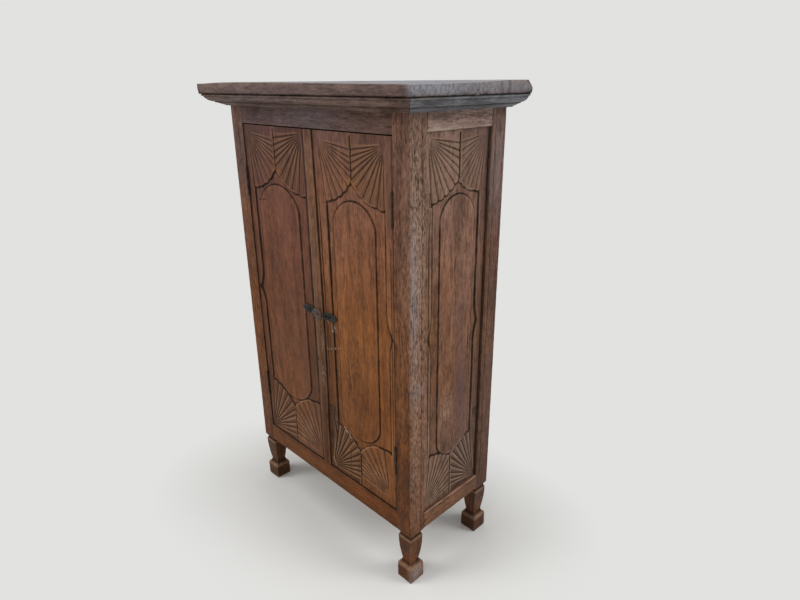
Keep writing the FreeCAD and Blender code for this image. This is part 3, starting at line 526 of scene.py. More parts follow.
# Lengths of the carving; clipped holds the valleys of the fan's inner part as shares of
# the angle to the meeting point
carving = dict(
    depth=3.2 * mm, wall=1.3 * mm, facet=6 * mm, softEdge=3.4 * mm, softDrop=0.6 * mm,
    clipped=(0.20, 0.42, 0.63, 0.83), scalloped=5, scallop=0.022, scatter=0.012,
    flute=2.4 * mm, valley=1.3 * mm, valleyHalf=2.6 * mm, ridge=0.62, nearDepth=0.6,
    start=0.03, full=0.20, reach=1.06, runOut=1.5 * mm, shake=0.45 * mm, jag=0.9 * mm,
    lineHalf=3.4 * mm, lineDepth=4.6 * mm, lineDirt=2.0 * mm, outlineDirt=1.9 * mm,
    sway=1.2 * mm, extraHalf=2.6 * mm, extraFade=25 * mm, gouge=1.1 * mm, tool=0.22 * mm,
    rubbedHollow=0.38 * mm, grimedHollow=0.60 * mm, softCells=3,
    cuspRise=0.083, cuspFall=0.071, cuspMid=0.32)

# How far the doors' meeting edges bow to the right, by height, in mm
bow = np.array([(0.26, -4.5), (0.34, -4.2), (0.43, -3.5), (0.52, 0.5), (0.64, 2.8), (0.78, 3.0),
                (0.92, 3.0), (1.03, 1.6), (1.14, 0.8), (1.31, -2.4), (1.40, -4.5)])
bowAt, bowReach = 25 * mm, 40 * mm


# Shifts points near the meeting edges along X by the bow at their height
def bowed(points):
    shift = sum(np.interp(points[..., 2] + d, bow[:, 0], bow[:, 1]) for d in (-0.03, 0, 0.03)) / 3
    points[..., 0] += shift * mm * np.exp(-((points[..., 0] - bowAt) / bowReach) ** 2)
    return points


# One fan: its apex, radius and the angles of its valleys
def fanOf(meet, apex, sideU):
    across = abs(meet[0] - apex[0])
    radius = math.hypot(meet[0] - apex[0], meet[1] - apex[1])
    toward, up = np.sign(meet[0] - apex[0]), np.sign(meet[1] - apex[1])
    meetAngle = math.acos(across / radius)
    endAngle = math.acos((sideU - apex[0]) * toward / radius)
    scalloped = np.linspace(meetAngle, endAngle, carving["scalloped"] + 1)
    return {"apex": apex, "radius": radius, "toward": toward, "up": up, "across": across,
            "clipped": meetAngle * np.array(carving["clipped"]), "scalloped": scalloped}


# The place at a radius and an angle from the apex of a fan
def fanPoint(fan, radius, angle):
    return (fan["apex"][0] + fan["toward"] * radius * math.cos(angle),
            fan["apex"][1] + fan["up"] * radius * math.sin(angle))


# Round ends over the petals, from the meeting point to the side
def scallops(fan):
    runs = []
    for a, b in zip(fan["scalloped"], fan["scalloped"][1:]):
        top = fanPoint(fan, fan["radius"] * (1 + carving["scallop"]), (a + b) / 2)
        runs.append(arcThrough(fanPoint(fan, fan["radius"], a), top,
                               fanPoint(fan, fan["radius"], b), 9))
    return np.concatenate(runs)


# A side of the band from top to bottom, with its pointed cusp if it has one
def bandSide(top, bottom, cusp, tall):
    if cusp is None:
        return np.array([top, bottom])
    rise, fall, mid = carving["cuspRise"] * tall, carving["cuspFall"] * tall, carving["cuspMid"]
    upper, lower = (top[0], cusp[1] + rise), (bottom[0], cusp[1] - fall)
    upperMid = (top[0] + (cusp[0] - top[0]) * mid, cusp[1] + rise * mid)
    lowerMid = (bottom[0] + (cusp[0] - bottom[0]) * mid, cusp[1] - fall * mid)
    return np.concatenate([[top], arcThrough(upper, upperMid, cusp, 14),
                           arcThrough(cusp, lowerMid, lower, 14), [bottom]])


# The flutes of a fan: between two valleys the wood rises evenly to a ridge and falls again,
# by the angle's share of the petal, and a narrow cut sharpens each valley. Both deepen from
# near the apex outwards, and end at the meeting line and just past the radius.
def flutes(u, z, fan, seed):
    rng = np.random.default_rng(seed)
    du, dz = (u - fan["apex"][0]) * fan["toward"], (z - fan["apex"][1]) * fan["up"]
    r, angle = np.hypot(du, dz), np.arctan2(dz, np.maximum(du, 1e-6))
    valleys = np.concatenate([fan["clipped"], fan["scalloped"]])
    valleys = valleys + rng.uniform(-carving["scatter"], carving["scatter"], len(valleys))
    pitch = valleys[-1] - valleys[-2]
    knots = np.concatenate([[valleys[0] - pitch], valleys, [valleys[-1] + pitch]])
    last = len(knots) - 2
    step = np.clip(np.searchsorted(knots, angle) - 1, 0, last)
    share = np.clip((angle - knots[step]) / (knots[step + 1] - knots[step]), 0, 1)
    top = carving["ridge"]
    low = 1 - np.where(share < top, share / top, (1 - share) / (1 - top))
    low = np.where((step == 0) & (share < top) | (step == last) & (share > top), 0, low)
    off = np.abs(angle[..., None] - valleys).min(-1) * r
    narrow = np.clip(1 - off / carving["valleyHalf"], 0, 1)
    grown = ease((r / fan["radius"] - carving["start"]) / carving["full"])
    within = ((du > 0) & (du < fan["across"] - 1 * mm) & (dz > 0)
              & (r < fan["radius"] * carving["reach"]))
    near = carving["nearDepth"]
    return (carving["flute"] * low * (near + (1 - near) * r / fan["radius"])
            + carving["valley"] * narrow) * grown * within


# A ripple of a height alone
def swayOf(z, wave, seed):
    return ripple(np.stack([z, z * 0, z * 0], -1), wave, seed)


# How deep the carving is at each place, and where its band, its outlines, its facets and
# its dark lines are
def relief(u, z, panel):
    left, right, bottom, top = panel["field"]
    wide, tall, layout = right - left, top - bottom, panel["layout"]

    def at(name):
        if layout[name]:
            return (left + wide * layout[name][0], bottom + tall * layout[name][1])

    def across(name):
        return [left + wide * share for share in layout[name]]

    def up(name):
        return [bottom + tall * share for share in layout[name]]
    topMeet, bottomMeet = at("topMeet"), at("bottomMeet")
    fans = [fanOf(meet, at(apex), sideU) for meet, apexes, sides in (
        (topMeet, ("topLeft", "topRight"), "sides"),
        (bottomMeet, ("bottomLeft", "bottomRight"), "lowerSides"))
        for apex, sideU in zip(apexes, across(sides))]
    ends = [fanPoint(fan, fan["radius"], fan["scalloped"][-1]) for fan in fans]
    outline = np.concatenate([
        scallops(fans[1]), bandSide(ends[1], ends[3], at("rightCusp"), tall),
        scallops(fans[3])[::-1], scallops(fans[2]),
        bandSide(ends[0], ends[2], at("leftCusp"), tall)[::-1], scallops(fans[0])[::-1]])
    (inL, inR), (lowEnd, highEnd) = across("island"), up("islandEnds")
    lowSide, highSide = up("islandShoulders")
    island = np.concatenate([
        arcThrough((inL, highSide), ((inL + inR) / 2, highEnd), (inR, highSide), 41),
        arcThrough((inR, lowSide), ((inL + inR) / 2, lowEnd), (inL, lowSide), 41)])
    shake = carving["shake"] * ripple(np.stack([u, z, u * 0], -1), 0.03, panel["seed"])
    outer, inner = insideDistance(u, z, outline) + shake, insideDistance(u, z, island) - shake
    zone = ((u > topMeet[0]) & (z > ends[1][1] + 4 * mm)
            | (u > bottomMeet[0]) & (z < ends[3][1] - 4 * mm))
    wall = carving["wall"] + (carving["facet"] - carving["wall"]) * zone
    facet = zone * (outer > 0) * (outer < wall)
    band = np.clip(outer / wall, 0, 1) * ease(-inner / carving["wall"])
    soft = carving["softEdge"]
    drop = (np.where(outer < 0, ease(1 + outer / soft), 0)
            + np.where(inner > 0, ease(1 - inner / soft), 0))
    depth = carving["depth"] * band + carving["softDrop"] * drop * (1 - band)
    grooves = np.zeros_like(u)
    fade = np.clip(1 - outer / carving["runOut"], 0, 1)
    for k, (fan, strength) in enumerate(zip(fans, panel["fanStrength"])):
        grooves = np.maximum(grooves, flutes(u, z, fan, panel["seed"] + 40 + k) * strength * fade)
    # dark lines along the outline and the meeting lines: grime and painted shade in the cuts
    dirt = 0.75 * np.exp(-(outer / carving["outlineDirt"]) ** 2) * (1 - zone) * (inner < 0)
    jag = carving["jag"] * swayOf(z, 0.035, panel["seed"] + 9)
    for meet, low, high in ((topMeet, topMeet[1] - 3 * mm, top - 6 * mm),
                            (bottomMeet, bottom, bottomMeet[1] + 3 * mm)):
        within = (z > low) & (z < high)
        off = np.abs(u - meet[0] - jag)
        cut = carving["lineDepth"] * np.clip(1 - off / carving["lineHalf"], 0, 1)
        grooves = np.maximum(grooves, within * cut)
        dirt = np.maximum(dirt, within * 0.85 * np.exp(-(off / carving["lineDirt"]) ** 2))
    for lineU, low, high, strength in panel.get("extraLines", []):
        within = ease((z - low) / carving["extraFade"]) * ease((high - z) / carving["extraFade"])
        off = np.abs(u - lineU - carving["sway"] * swayOf(z, 0.22, 7))
        cut = carving["lineDepth"] * strength * np.clip(1 - off / carving["extraHalf"], 0, 1)
        grooves = np.maximum(grooves, within * cut)
    return np.maximum(depth, grooves), band, outer, facet, dirt


# Thin scratches: each row is two ends, a width in mm and a strength
def scratches(u, z, rows):
    found = np.zeros_like(u)
    for u0, z0, u1, z1, width, strength in rows:
        edge = np.array([u1 - u0, z1 - z0])
        share = np.clip(((u - u0) * edge[0] + (z - z0) * edge[1]) / (edge @ edge), 0, 1)
        off = np.hypot(u - u0 - share * edge[0], z - z0 - share * edge[1])
        found = np.maximum(found, strength * np.exp(-(off / (width * mm)) ** 2))
    return found


# A carved board: its front is the relief on a fine grid, its edges and back are plain.
# U runs across as seen from outside, D into the wood and Z up.
def carvedBoard(panel):
    u0, u1, z0, z1 = panel["board"]
    left, right, bottom, top = panel["field"]
    rounding, thick, fine = panel["rounding"], panel["thickness"], panel["cell"]
    u0in, u1in = u0 + rounding, u1 - rounding
    across = np.linspace(u0in, u1in, int((u1in - u0in) / fine) + 1)
    layout, front = panel["layout"], len(across)
    fanTop = bottom + (top - bottom) * (min(layout["topMeet"][1], 0.9) - 0.125)
    fanLow = bottom + (top - bottom) * (layout["bottomMeet"][1] + 0.115)
    turn = np.linspace(0, np.pi / 2, 4)
    end, drawnEnd = rounding * (1 - np.cos(turn)), rounding * (1 - np.sin(turn))
    rows = np.concatenate([
        z0 + end, np.arange(z0 + rounding + fine, fanLow, fine),
        np.arange(fanLow, fanTop, panel["coarse"]),
        np.arange(fanTop, z1 - rounding - fine, fine), (z1 - end)[::-1]])
    drawn = np.concatenate([drawnEnd, np.zeros(len(rows) - 8), drawnEnd[::-1]])[:, None]

    # both give the ring as (across, into the wood, outward across, outward into)
    def straight(u, d, outU, outD):
        return np.stack(np.broadcast_arrays(u, d, float(outU), float(outD)), -1)

    def quarterArc(u, d, quarters):
        way = np.stack([np.cos(turn[1:] + quarters * np.pi / 2),
                        np.sin(turn[1:] + quarters * np.pi / 2)], -1)
        return np.concatenate([np.array([u, d]) + rounding * way, way], -1)
    sideSteps = np.linspace(rounding, thick - rounding, 12)[1:]
    backSteps = np.linspace(u1in, u0in, 14)[1:]
    ring = np.concatenate([
        straight(across, 0, 0, -1), quarterArc(u1in, rounding, -1),
        straight(u1, sideSteps, 1, 0), quarterArc(u1in, thick - rounding, 0),
        straight(backSteps, thick, 0, 1), quarterArc(u0in, thick - rounding, 1),
        straight(u0, sideSteps[::-1], -1, 0), quarterArc(u0in, rounding, 2)[:-1]])
    U, D = (np.repeat(ring[None, :, k], len(rows), 0) for k in (0, 1))
    Z = np.repeat(rows[:, None], len(ring), 1)
    u, z = U[:, :front], Z[:, :front]
    depth, band, outer, facet, dirt = relief(u, z, panel)
    local = np.stack([u, D[:, :front], z], -1)
    wave = 0.5 + 0.5 * ripple(local, 0.16, panel["seed"] + 1)
    tool = 0.5 + 0.5 * ripple(local * np.array([1, 1, 0.35]), 0.011, panel["seed"] + 2)
    depth = depth + panel["unevenness"] * wave + carving["tool"] * tool * (0.35 + band)
    for lineU, reach, deep in panel.get("borders", []):
        depth = depth + deep * np.clip(1 - np.abs(u - lineU) / reach, 0, 1)
    gouges = scratches(u, z, panel["gouges"])
    depth = depth + carving["gouge"] * gouges
    D[:, :front] += depth
    U, D = U - ring[None, :, 2] * drawn, D - ring[None, :, 3] * drawn

    def onFront(values):
        return np.pad(values, ((0, 0), (0, len(ring) - front)))
    hollow = soften(depth, carving["softCells"]) - depth
    fans = (1 - band) * np.clip(-outer / (2 * mm), 0, 1) * ((z > fanTop) | (z < fanLow))
    wear = (np.clip(hollow / carving["rubbedHollow"], 0, 1) * (1 - 0.5 * band)
            * (0.30 + 0.65 * fans) * (1 - dirt) + 0.75 * facet)
    grime = (np.clip(-hollow / carving["grimedHollow"], 0, 1) ** 1.2 * (0.92 - 0.30 * fans)
             + 0.55 * gouges + dirt)
    # dark lines along listed edges: grime and painted shade in the gaps and recesses beside them
    for lineU, reach, strength in panel["dirt"]:
        grime = grime + strength * np.exp(-((u - lineU) / reach) ** 2)
    quarter = 2 * (z < (bottom + top) / 2) + (u > left + (right - left) * layout["topMeet"][0])
    stain = fans * np.array(panel["fanStain"])[quarter] + panel.get("bandStain", 0) * band
    arris = np.abs(ring[:, 2] * ring[:, 3]) * 2
    edges = np.clip(np.abs(ring[:, 2]) * 2 - 1, 0, 1)
    # the side edges are darkened in full, as painted shade where the gaps show them, and the ends
    # where they sit in the frame
    fields = {"wear": onFront(wear) + arris * 0.8,
              "grime": onFront(grime) + edges * 0.9 + 0.9 * (drawn > 0.5 * rounding),
              "scuff": onFront(scratches(u, z, panel.get("scuffs", []))),
              "stain": onFront(stain), "pale": onFront(panel.get("fanPale", 0) * fans)}
    for tint, marks in panel["tints"].items():
        marks = [(markU, 0, markZ, reachU, far, reachZ, strength)
                 for markU, markZ, reachU, reachZ, strength in marks]
        fields[tint] = fields.get(tint, 0) + spots(np.stack([U, 0 * U, Z], -1), marks)
    fields = {name: np.clip(values, 0, 1) for name, values in fields.items()}
    side = panel.get("side")
    points = np.stack([side * (sideHigh[0] - D), U, Z] if side else [U, doorFace + D, Z], -1)
    if "hinged" in panel:
        points = clearHinges(bowed(points), panel["hinged"], panel["leafPlane"], -1)
    return makePiece(panel, [loft(points)], wood[panel["wood"]], fields)


leftPanelLow, leftPanelHigh = corners("left_door_panel")
rightPanelLow, rightPanelHigh = corners("right_door_panel")
battenLow, battenHigh = corners("meeting_batten")
doorFace = battenHigh[1]
doorThick = leftPanelHigh[1] - doorFace
_, sideHigh = corners("side_panel_right")
sideFieldY = (frontY + postSize, backY - postSize)
sideFieldZ = (bottomRailHigh[2], topRailLow[2])
far = 9.0

# Marks on the boards in metres. Tints: place and reach across and up, strength. Lines at
# one place across: place, reach, strength; extraLines: place, from, to, strength.
leftDoor = dict(
    name="leftDoorCarved", nodes=["left_door_panel"], body="left_door", slot="left_door_wood",
    wood="leftDoor", seed=11, layout=leftDoorLayout,
    board=(leftPanelLow[0], leftPanelHigh[0], leftPanelLow[2], leftPanelHigh[2]),
    field=(leftPanelLow[0], battenLow[0], leftPanelLow[2], leftPanelHigh[2]),
    rounding=1.2 * mm, thickness=doorThick, cell=1.9 * mm, coarse=6 * mm, unevenness=0.5 * mm,
    hinged=-1, leafPlane=-leftPanelLow[0],
    fanStrength=(0.60, 1.0, 1.1, 0.75), fanStain=(0.22, 0.50, 0.48, 0.14), bandStain=0.10,
    # dark lines beside the strip's left edge and along the hinged edge: grime and painted shade
    dirt=[(-0.024, 4 * mm, 0.75), (leftPanelLow[0], 5 * mm, 0.8)],
    gouges=[(-0.300, 1.158, -0.252, 1.164, 1.2, 0.8)],
    tints=dict(
        stain=[(-0.02, 0.66, 0.03, 0.05, 0.6), (-0.06, 0.60, 0.03, 0.25, 0.25),
               (-0.33, 0.30, 0.03, 0.10, 0.35), (-0.338, 0.90, 0.018, 0.60, 0.35),
               (-0.30, 1.33, 0.05, 0.07, 0.20)],
        warm=[(-0.16, 0.50, 0.12, 0.22, 0.10), (-0.182, 1.262, 0.030, 0.013, 0.6)],
        pale=[(-0.10, 0.33, 0.06, 0.06, 0.25)]))
rightDoor = dict(
    leftDoor, name="rightDoorCarved", nodes=["right_door_panel"], body="right_door",
    slot="right_door_wood", wood="rightDoor", seed=23, layout=rightDoorLayout,
    board=(rightPanelLow[0], rightPanelHigh[0], rightPanelLow[2], rightPanelHigh[2]),
    field=(rightPanelLow[0], rightPanelHigh[0], rightPanelLow[2], rightPanelHigh[2]),
    cell=1.8 * mm, hinged=1, leafPlane=rightPanelHigh[0],
    fanStrength=(0.85, 1.0, 1.1, 0.85), fanStain=(0.14, 0.36, 0.56, 0.10), bandStain=0,
    extraLines=[(0.130, 0.272, 0.392, 0.8), (0.036, 0.60, 1.22, 0.45),
                (0.336, 0.40, 1.12, 0.40), (0.306, 0.99, 1.10, 0.5)],
    # dark lines at both edges: painted shade in the gaps, with grime
    dirt=[(rightPanelLow[0], 3 * mm, 0.6), (rightPanelHigh[0], 4 * mm, 0.8)],
    scuffs=[(0.028, 0.716, 0.093, 0.736, 0.9, 0.5), (0.052, 0.806, 0.086, 0.799, 0.8, 0.55),
            (0.058, 0.812, 0.069, 0.790, 0.8, 0.55), (0.071, 0.813, 0.080, 0.788, 0.8, 0.6),
            (0.045, 0.794, 0.088, 0.785, 0.8, 0.45), (0.034, 0.826, 0.050, 0.812, 1.0, 0.8),
            (0.098, 0.450, 0.138, 0.425, 1.3, 0.9), (0.142, 0.420, 0.177, 0.392, 1.0, 0.5),
            (0.036, 0.300, 0.052, 0.272, 1.2, 0.6)],
    gouges=[(0.038, 0.700, 0.044, 0.800, 1.6, 0.8), (0.055, 0.690, 0.050, 0.770, 1.4, 0.6),
            (0.050, 0.480, 0.062, 0.410, 3.0, 0.9), (0.036, 0.860, 0.037, 0.930, 1.3, 0.7)],
    tints=dict(
        warm=[(0.335, 0.46, 0.012, 0.16, 0.50), (0.31, 0.48, 0.03, 0.12, 0.25),
              (0.20, 0.80, 0.12, 0.30, 0.14), (0.184, 1.262, 0.035, 0.014, 0.7)],
        stain=[(0.05, 0.45, 0.035, 0.08, 0.6), (0.045, 0.70, 0.030, 0.20, 0.6),
               (0.09, 0.32, 0.08, 0.06, 0.35), (0.20, 0.60, 0.09, 0.09, 0.26),
               (0.23, 0.90, 0.04, 0.04, 0.22)],
        pale=[(0.26, 0.33, 0.05, 0.05, 0.25)]))
rightSide = dict(
    name="rightSideCarved", nodes=["side_panel_right"], body="carcass", slot="side_wood",
    wood="sidePanel", side=1, seed=37, layout=sideLayout, field=(*sideFieldY, *sideFieldZ),
    board=(sideFieldY[0] - 3 * mm, sideFieldY[1] + 3 * mm,
           sideFieldZ[0] - 3 * mm, sideFieldZ[1] + 3 * mm),
    rounding=1.0 * mm, thickness=18 * mm, cell=1.6 * mm, coarse=6 * mm, unevenness=0.4 * mm,
    fanStrength=(1.0, 0.40, 0.65, 0.9), fanStain=(0.0, 0.28, 0.04, 0.80), bandStain=0.05,
    fanPale=0.10, extraLines=[(-0.0815, 0.44, 1.17, 0.75), (0.098, 0.70, 0.84, 0.4)],
    borders=[(sideFieldY[0] + 1 * mm, 3 * mm, 2.5 * mm)],
    # dark lines at the front margin and, wider, in the recess by the back post: grime and painted
    # shade
    dirt=[(sideFieldY[0] + 1 * mm, 3.5 * mm, 1.0), (sideFieldY[1], 7 * mm, 0.9)],
    gouges=[(-0.078, 1.250, -0.078, 1.225, 4.0, 0.8), (0.028, 1.02, 0.030, 1.06, 1.5, 0.6)],
    tints=dict(
        stain=[(0.150, 0.75, 0.022, 0.70, 0.45), (0.03, 1.13, 0.02, 0.05, 0.35),
               (0.04, 1.20, 0.025, 0.03, 0.35), (-0.085, 1.18, 0.02, 0.06, 0.5),
               (0.10, 0.30, 0.08, 0.08, 0.50), (0.07, 0.62, 0.03, 0.06, 0.40),
               (0.05, 0.45, 0.05, 0.04, 0.30)],
        plum=[(0.068, 0.60, 0.026, 0.17, 0.75), (0.062, 0.86, 0.024, 0.10, 0.45),
              (0.12, 0.42, 0.05, 0.20, 0.35), (0.11, 1.34, 0.06, 0.06, 0.35)],
        warm=[(-0.074, 0.86, 0.014, 0.10, 0.45), (-0.01, 0.98, 0.03, 0.10, 0.18)],
        pale=[(-0.085, 0.80, 0.016, 0.45, 0.35), (-0.02, 1.34, 0.06, 0.06, 0.35),
              (0.004, 0.575, 0.030, 0.06, 0.50), (-0.095, 0.60, 0.012, 0.10, 0.45)]))
leftSide = dict(rightSide, name="leftSideCarved", nodes=["side_panel_left"], side=-1, seed=41)
for panel in (leftDoor, rightDoor, rightSide, leftSide):
    carvedBoard(panel)
print("carved boards made")

legs = dict(
    foot=60 * mm, footRound=9 * mm, neck=39 * mm, neckRise=14 * mm, shoulder=57 * mm,
    shoulderDrop=22 * mm, notch=47 * mm, notchDrop=12 * mm, bulge=0.72, arris=1.7 * mm,
    legArris=3.4 * mm, innerArris=4.5 * mm, lineIn=16 * mm, lineDepth=1.0 * mm,
    lineHalf=1.6 * mm, lineFrom=12 * mm, nibble=1.3 * mm)
legTop = bottomRailLow[2]


# Half width of a post at a height: block foot, neck, vase, notch, square shaft
def legHalf(z):
    half, neck, shoulderHalf = postSize / 2, legs["neck"] / 2, legs["shoulder"] / 2
    shoulder, notch = legTop - legs["shoulderDrop"], legTop - legs["notchDrop"]
    foot, r = legs["foot"], legs["footRound"]
    lowNeck, cut = foot + legs["neckRise"], 0.293 * r
    footArc = arcThrough((half, foot - r), (half - cut, foot - cut),
                         (half - r, foot + 0.1 * mm), 9)
    vase = arcThrough((neck, lowNeck),
                      (neck + (shoulderHalf - neck) * legs["bulge"], (lowNeck + shoulder) / 2),
                      (shoulderHalf, shoulder), 17)
    line = np.concatenate([[(half - 1.6 * mm, 0), (half - 0.4 * mm, 1.2 * mm), (half, 3 * mm)],
                           footArc, vase, [(legs["notch"] / 2, notch), (half - 0.8 * mm, legTop),
                                           (half, legTop + 1.2 * mm), (half, 2.0)]])
    return np.interp(z, line[:, 1], line[:, 0])


# A soft dark ring round a post at a height
def darkRing(z, height, reach, strength):
    return strength * np.exp(-((z - height) / reach) ** 2)


# A post: rounded squares carried up, their size by legHalf, with a scratched line
def makePost(piece):
    _, depthWord, sideWord = piece["nodes"][0].split("_")
    side, back = 1 if sideWord == "right" else -1, depthWord == "back"
    inward, seed = -1 if back else 1, piece["seed"]
    centre = np.array([rightPostHigh[0] - postSize / 2,
                       (backPostLow[1] if back else frontY) + postSize / 2])
    place, out, between = ringShares([34, 18])
    topZ = rightPostHigh[2]
    z = np.concatenate([[0, 1 * mm, 2.2 * mm], np.arange(4 * mm, legTop + 8 * mm, 2.6 * mm),
                        np.arange(legTop + 10 * mm, topZ, 6 * mm), [topZ - 1 * mm, topZ]])
    for low, high in hingeBoxes:
        edges = [low[2] - hinge["endRoom"], high[2] + hinge["endRoom"]]
        z = np.concatenate([z, [e + s for e in edges for s in (-0.3 * mm, 0.3 * mm)]])
    z = np.unique(z)
    arris = np.full((len(z), 4), legs["arris"])
    arris[z < legTop + 1 * mm] = legs["legArris"]
    opening = (z > sideFieldZ[0]) & (z < sideFieldZ[1])
    arris[opening, 0 if back else 1] = legs["innerArris"]
    first, second, share = between[:, 0].astype(int), between[:, 1].astype(int), between[:, 2]
    r = arris[:, first] * (1 - share) + arris[:, second] * share
    half, up = legHalf(z)[:, None], z[:, None]
    points = np.stack([centre[0] + place[:, 0] * (half - r) + out[:, 0] * r,
                       centre[1] + place[:, 1] * (half - r) + out[:, 1] * r,
                       np.repeat(up, len(place), 1)], -1)
    wobble = 0.5 + 0.5 * ripple(points, 0.07, seed)
    corner = np.abs(2 * out[:, 0] * out[:, 1])[None, :] * np.ones((len(z), 1))
    nibble = np.clip(ripple(points, 0.022, seed + 5), 0, 1) * corner
    lean = np.where(up < legTop, 0.9 * mm, 0.5 * mm) * wobble + legs["nibble"] * nibble
    lineAt = centre[1] + inward * (postSize / 2 - legs["lineIn"])
    line = np.clip(1 - np.abs(points[..., 1] - lineAt) / legs["lineHalf"], 0, 1)
    line = line * ((out[:, 0] > 0.9) & (place[:, 0] > 0.9)) * (up > legTop + legs["lineFrom"])
    lean = lean + legs["lineDepth"] * line
    for *spot, reach, deep in piece.get("chips", []):
        lean = lean + deep * np.exp(-(((points - np.array(spot)) / reach) ** 2).sum(-1))
    points[..., :2] -= out * lean[..., None]
    if not back:
        points = clearHinges(points, 1, rightPostLow[0], 1)
    points[..., 0] *= side
    narrow = np.gradient(np.gradient(legHalf(z), z), z)[:, None]
    # the inner face above the rail, which looks into the gap, gets painted shade
    slit = (out[:, 0] < -0.9) & (place[:, 0] < -0.9) & (up > sideFieldZ[0])
    wear = (corner * (0.55 + 0.45 * ripple(points, 0.05, seed + 3))
            + 0.8 * np.clip(-narrow / 60, 0, 1) * (up < legTop))
    # darker rings at the notch, in the crease above the foot and at the floor
    grime = (0.85 * line + 0.75 * slit + darkRing(up, legTop - legs["notchDrop"], 4.5 * mm, 0.85)
             + darkRing(up, legs["foot"] + 7 * mm, 6 * mm, 0.6) + darkRing(up, 0, 4 * mm, 0.7))
    fields = {"wear": np.clip(wear, 0, 1), "grime": np.clip(grime, 0, 1),
              **{tint: spots(points, rows) for tint, rows in piece["tints"].items()}}
    name = depthWord + sideWord.capitalize() + "Post"
    return makePiece({**piece, "name": name, "body": "carcass", "slot": "frame_wood"},
                     [loft(points)], wood["upright"], fields)


# Posts, rails and mouldings: a tint's row is place, reach, strength; a chip's is place,
# reach, depth
sideX = bodyHalf = rightPostHigh[0]
footStain = [(0, 0, 0.02, far, far, 0.035, 0.5), (0, 0, 0.18, far, far, 0.03, 0.3)]
posts = [
    dict(nodes=["post_front_right"], seed=51,
         chips=[(sideX, frontY, 0.88, 13 * mm, 2.5 * mm), (sideX, frontY, 1.22, 10 * mm, 2 * mm),
                (sideX, -0.158, 1.05, 12 * mm, 1.6 * mm), (sideX, frontY, 0.55, 9 * mm, 2 * mm),
                (sideX, frontY, 0.058, 8 * mm, 2.5 * mm)],
         tints=dict(
             stain=[(0, frontY, 0.02, far, 0.02, 0.035, 0.5),
                    (0.38, frontY, 0.14, 0.03, 0.02, 0.06, 0.75),
                    (0.352, frontY, 0.45, 0.016, 0.02, 0.20, 0.6),
                    (0.405, frontY, 0.40, 0.02, 0.02, 0.05, 0.5),
                    (0.378, frontY, 0.34, 0.02, 0.02, 0.10, 0.3),
                    (0.345, frontY, 1.28, 0.02, 0.03, 0.05, 0.35),
                    (sideX, -0.134, 0.15, 0.02, 0.05, 0.03, 0.3)],
             pale=[(sideX, -0.140, 1.12, 0.004, 0.050, 0.46, 0.95),
                   (sideX, -0.140, 0.52, 0.004, 0.045, 0.34, 0.48),
                   (sideX, -0.134, 0.035, 0.012, 0.05, 0.03, 0.75),
                   (0.395, frontY, 1.05, 0.018, 0.01, 0.25, 0.20)],
             # painted sheen: pale bluish light on the side face and on the foot
             bloom=[(sideX, -0.134, 0.032, 0.012, 0.05, 0.028, 0.30),
                    (sideX, -0.150, 0.98, 0.004, 0.016, 0.20, 0.35),
                    (sideX, -0.135, 0.70, 0.004, 0.030, 0.03, 0.25)],
             warm=[(0.372, frontY, 0.62, 0.02, 0.02, 0.12, 0.15)])),
    dict(nodes=["post_front_left"], seed=52,
         tints=dict(stain=footStain + [(-0.352, frontY, 0.95, 0.012, 0.02, 0.30, 0.35),
                                       (-0.38, frontY, 1.30, 0.05, 0.02, 0.15, 0.38),
                                       (-0.38, frontY, 0.12, 0.05, 0.05, 0.06, 0.35)])),
    dict(nodes=["post_back_right"], seed=53,
         tints=dict(stain=footStain + [(sideX, 0.19, 0.7, 0.02, 0.05, 0.8, 0.25),
                                       # this strip is painted shade on the post's inner face, in
                                       # the recess by the side panel
                                       (0.405, 0.160, 0.8, 0.02, 0.007, 0.9, 0.7)],
                    # painted sheen on the side face
                    bloom=[(sideX, 0.195, 1.30, 0.02, 0.05, 0.14, 0.25),
                           (sideX, 0.195, 0.60, 0.02, 0.05, 0.50, 0.10)])),
    dict(nodes=["post_back_left"], seed=54, tints=dict(stain=footStain))]
for post in posts:
    makePost(post)
print("posts made")

# The rails: their tenons are left out, because nothing shows them
tenon = 32 * mm
rails = dict(
    rail_front_bottom=dict(
        grimed=(0, 0, 1), tints=dict(
            stain=[(0.06, frontY, 0.243, 0.03, 0.05, 0.012, 0.5),
                   (-0.1, frontY, 0.258, 0.3, 0.05, 0.005, 0.4),
                   (0.32, frontY, 0.230, 0.03, 0.05, 0.03, 0.4),
                   (0.0, frontY, 0.195, 0.5, 0.05, 0.006, 0.25)],
            warm=[(-0.15, frontY, 0.22, 0.3, 0.05, 0.04, 0.10)])),
    rail_front_top=dict(
        grimed=(0, 0, -1), tints=dict(
            stain=[(0.338, frontY, 1.443, 0.014, 0.02, 0.008, 0.7),
                   (0.02, frontY, 1.41, 0.08, 0.02, 0.03, 0.45)],
            # painted sheen along the rail
            bloom=[(0.02, frontY, 1.43, 0.12, 0.02, 0.05, 0.15)])),
    rail_back_bottom={}, rail_back_top={},
    rail_right_bottom=dict(
        rounding=3.5 * mm, tints=dict(
            stain=[(sideX, -0.098, 0.217, 0.02, 0.007, 0.007, 0.85),
                   (sideX, 0.12, 0.215, 0.02, 0.05, 0.02, 0.35)])),
    rail_right_top=dict(
        rounding=6 * mm, tints=dict(
            # painted light on the polished lower bevel: a painted highlight from the scuff and
            # pale spots, over a painted shadow line under it from the grime spot
            scuff=[(sideX, -0.06, 1.4095, 0.02, 0.07, 0.0035, 0.75)],
            pale=[(sideX, 0.03, 1.410, 0.02, 0.10, 0.005, 0.5)],
            grime=[(sideX, 0.03, 1.4015, 0.03, 0.30, 0.0035, 0.9)])),
    rail_left_bottom=dict(rounding=3.5 * mm), rail_left_top=dict(rounding=6 * mm))
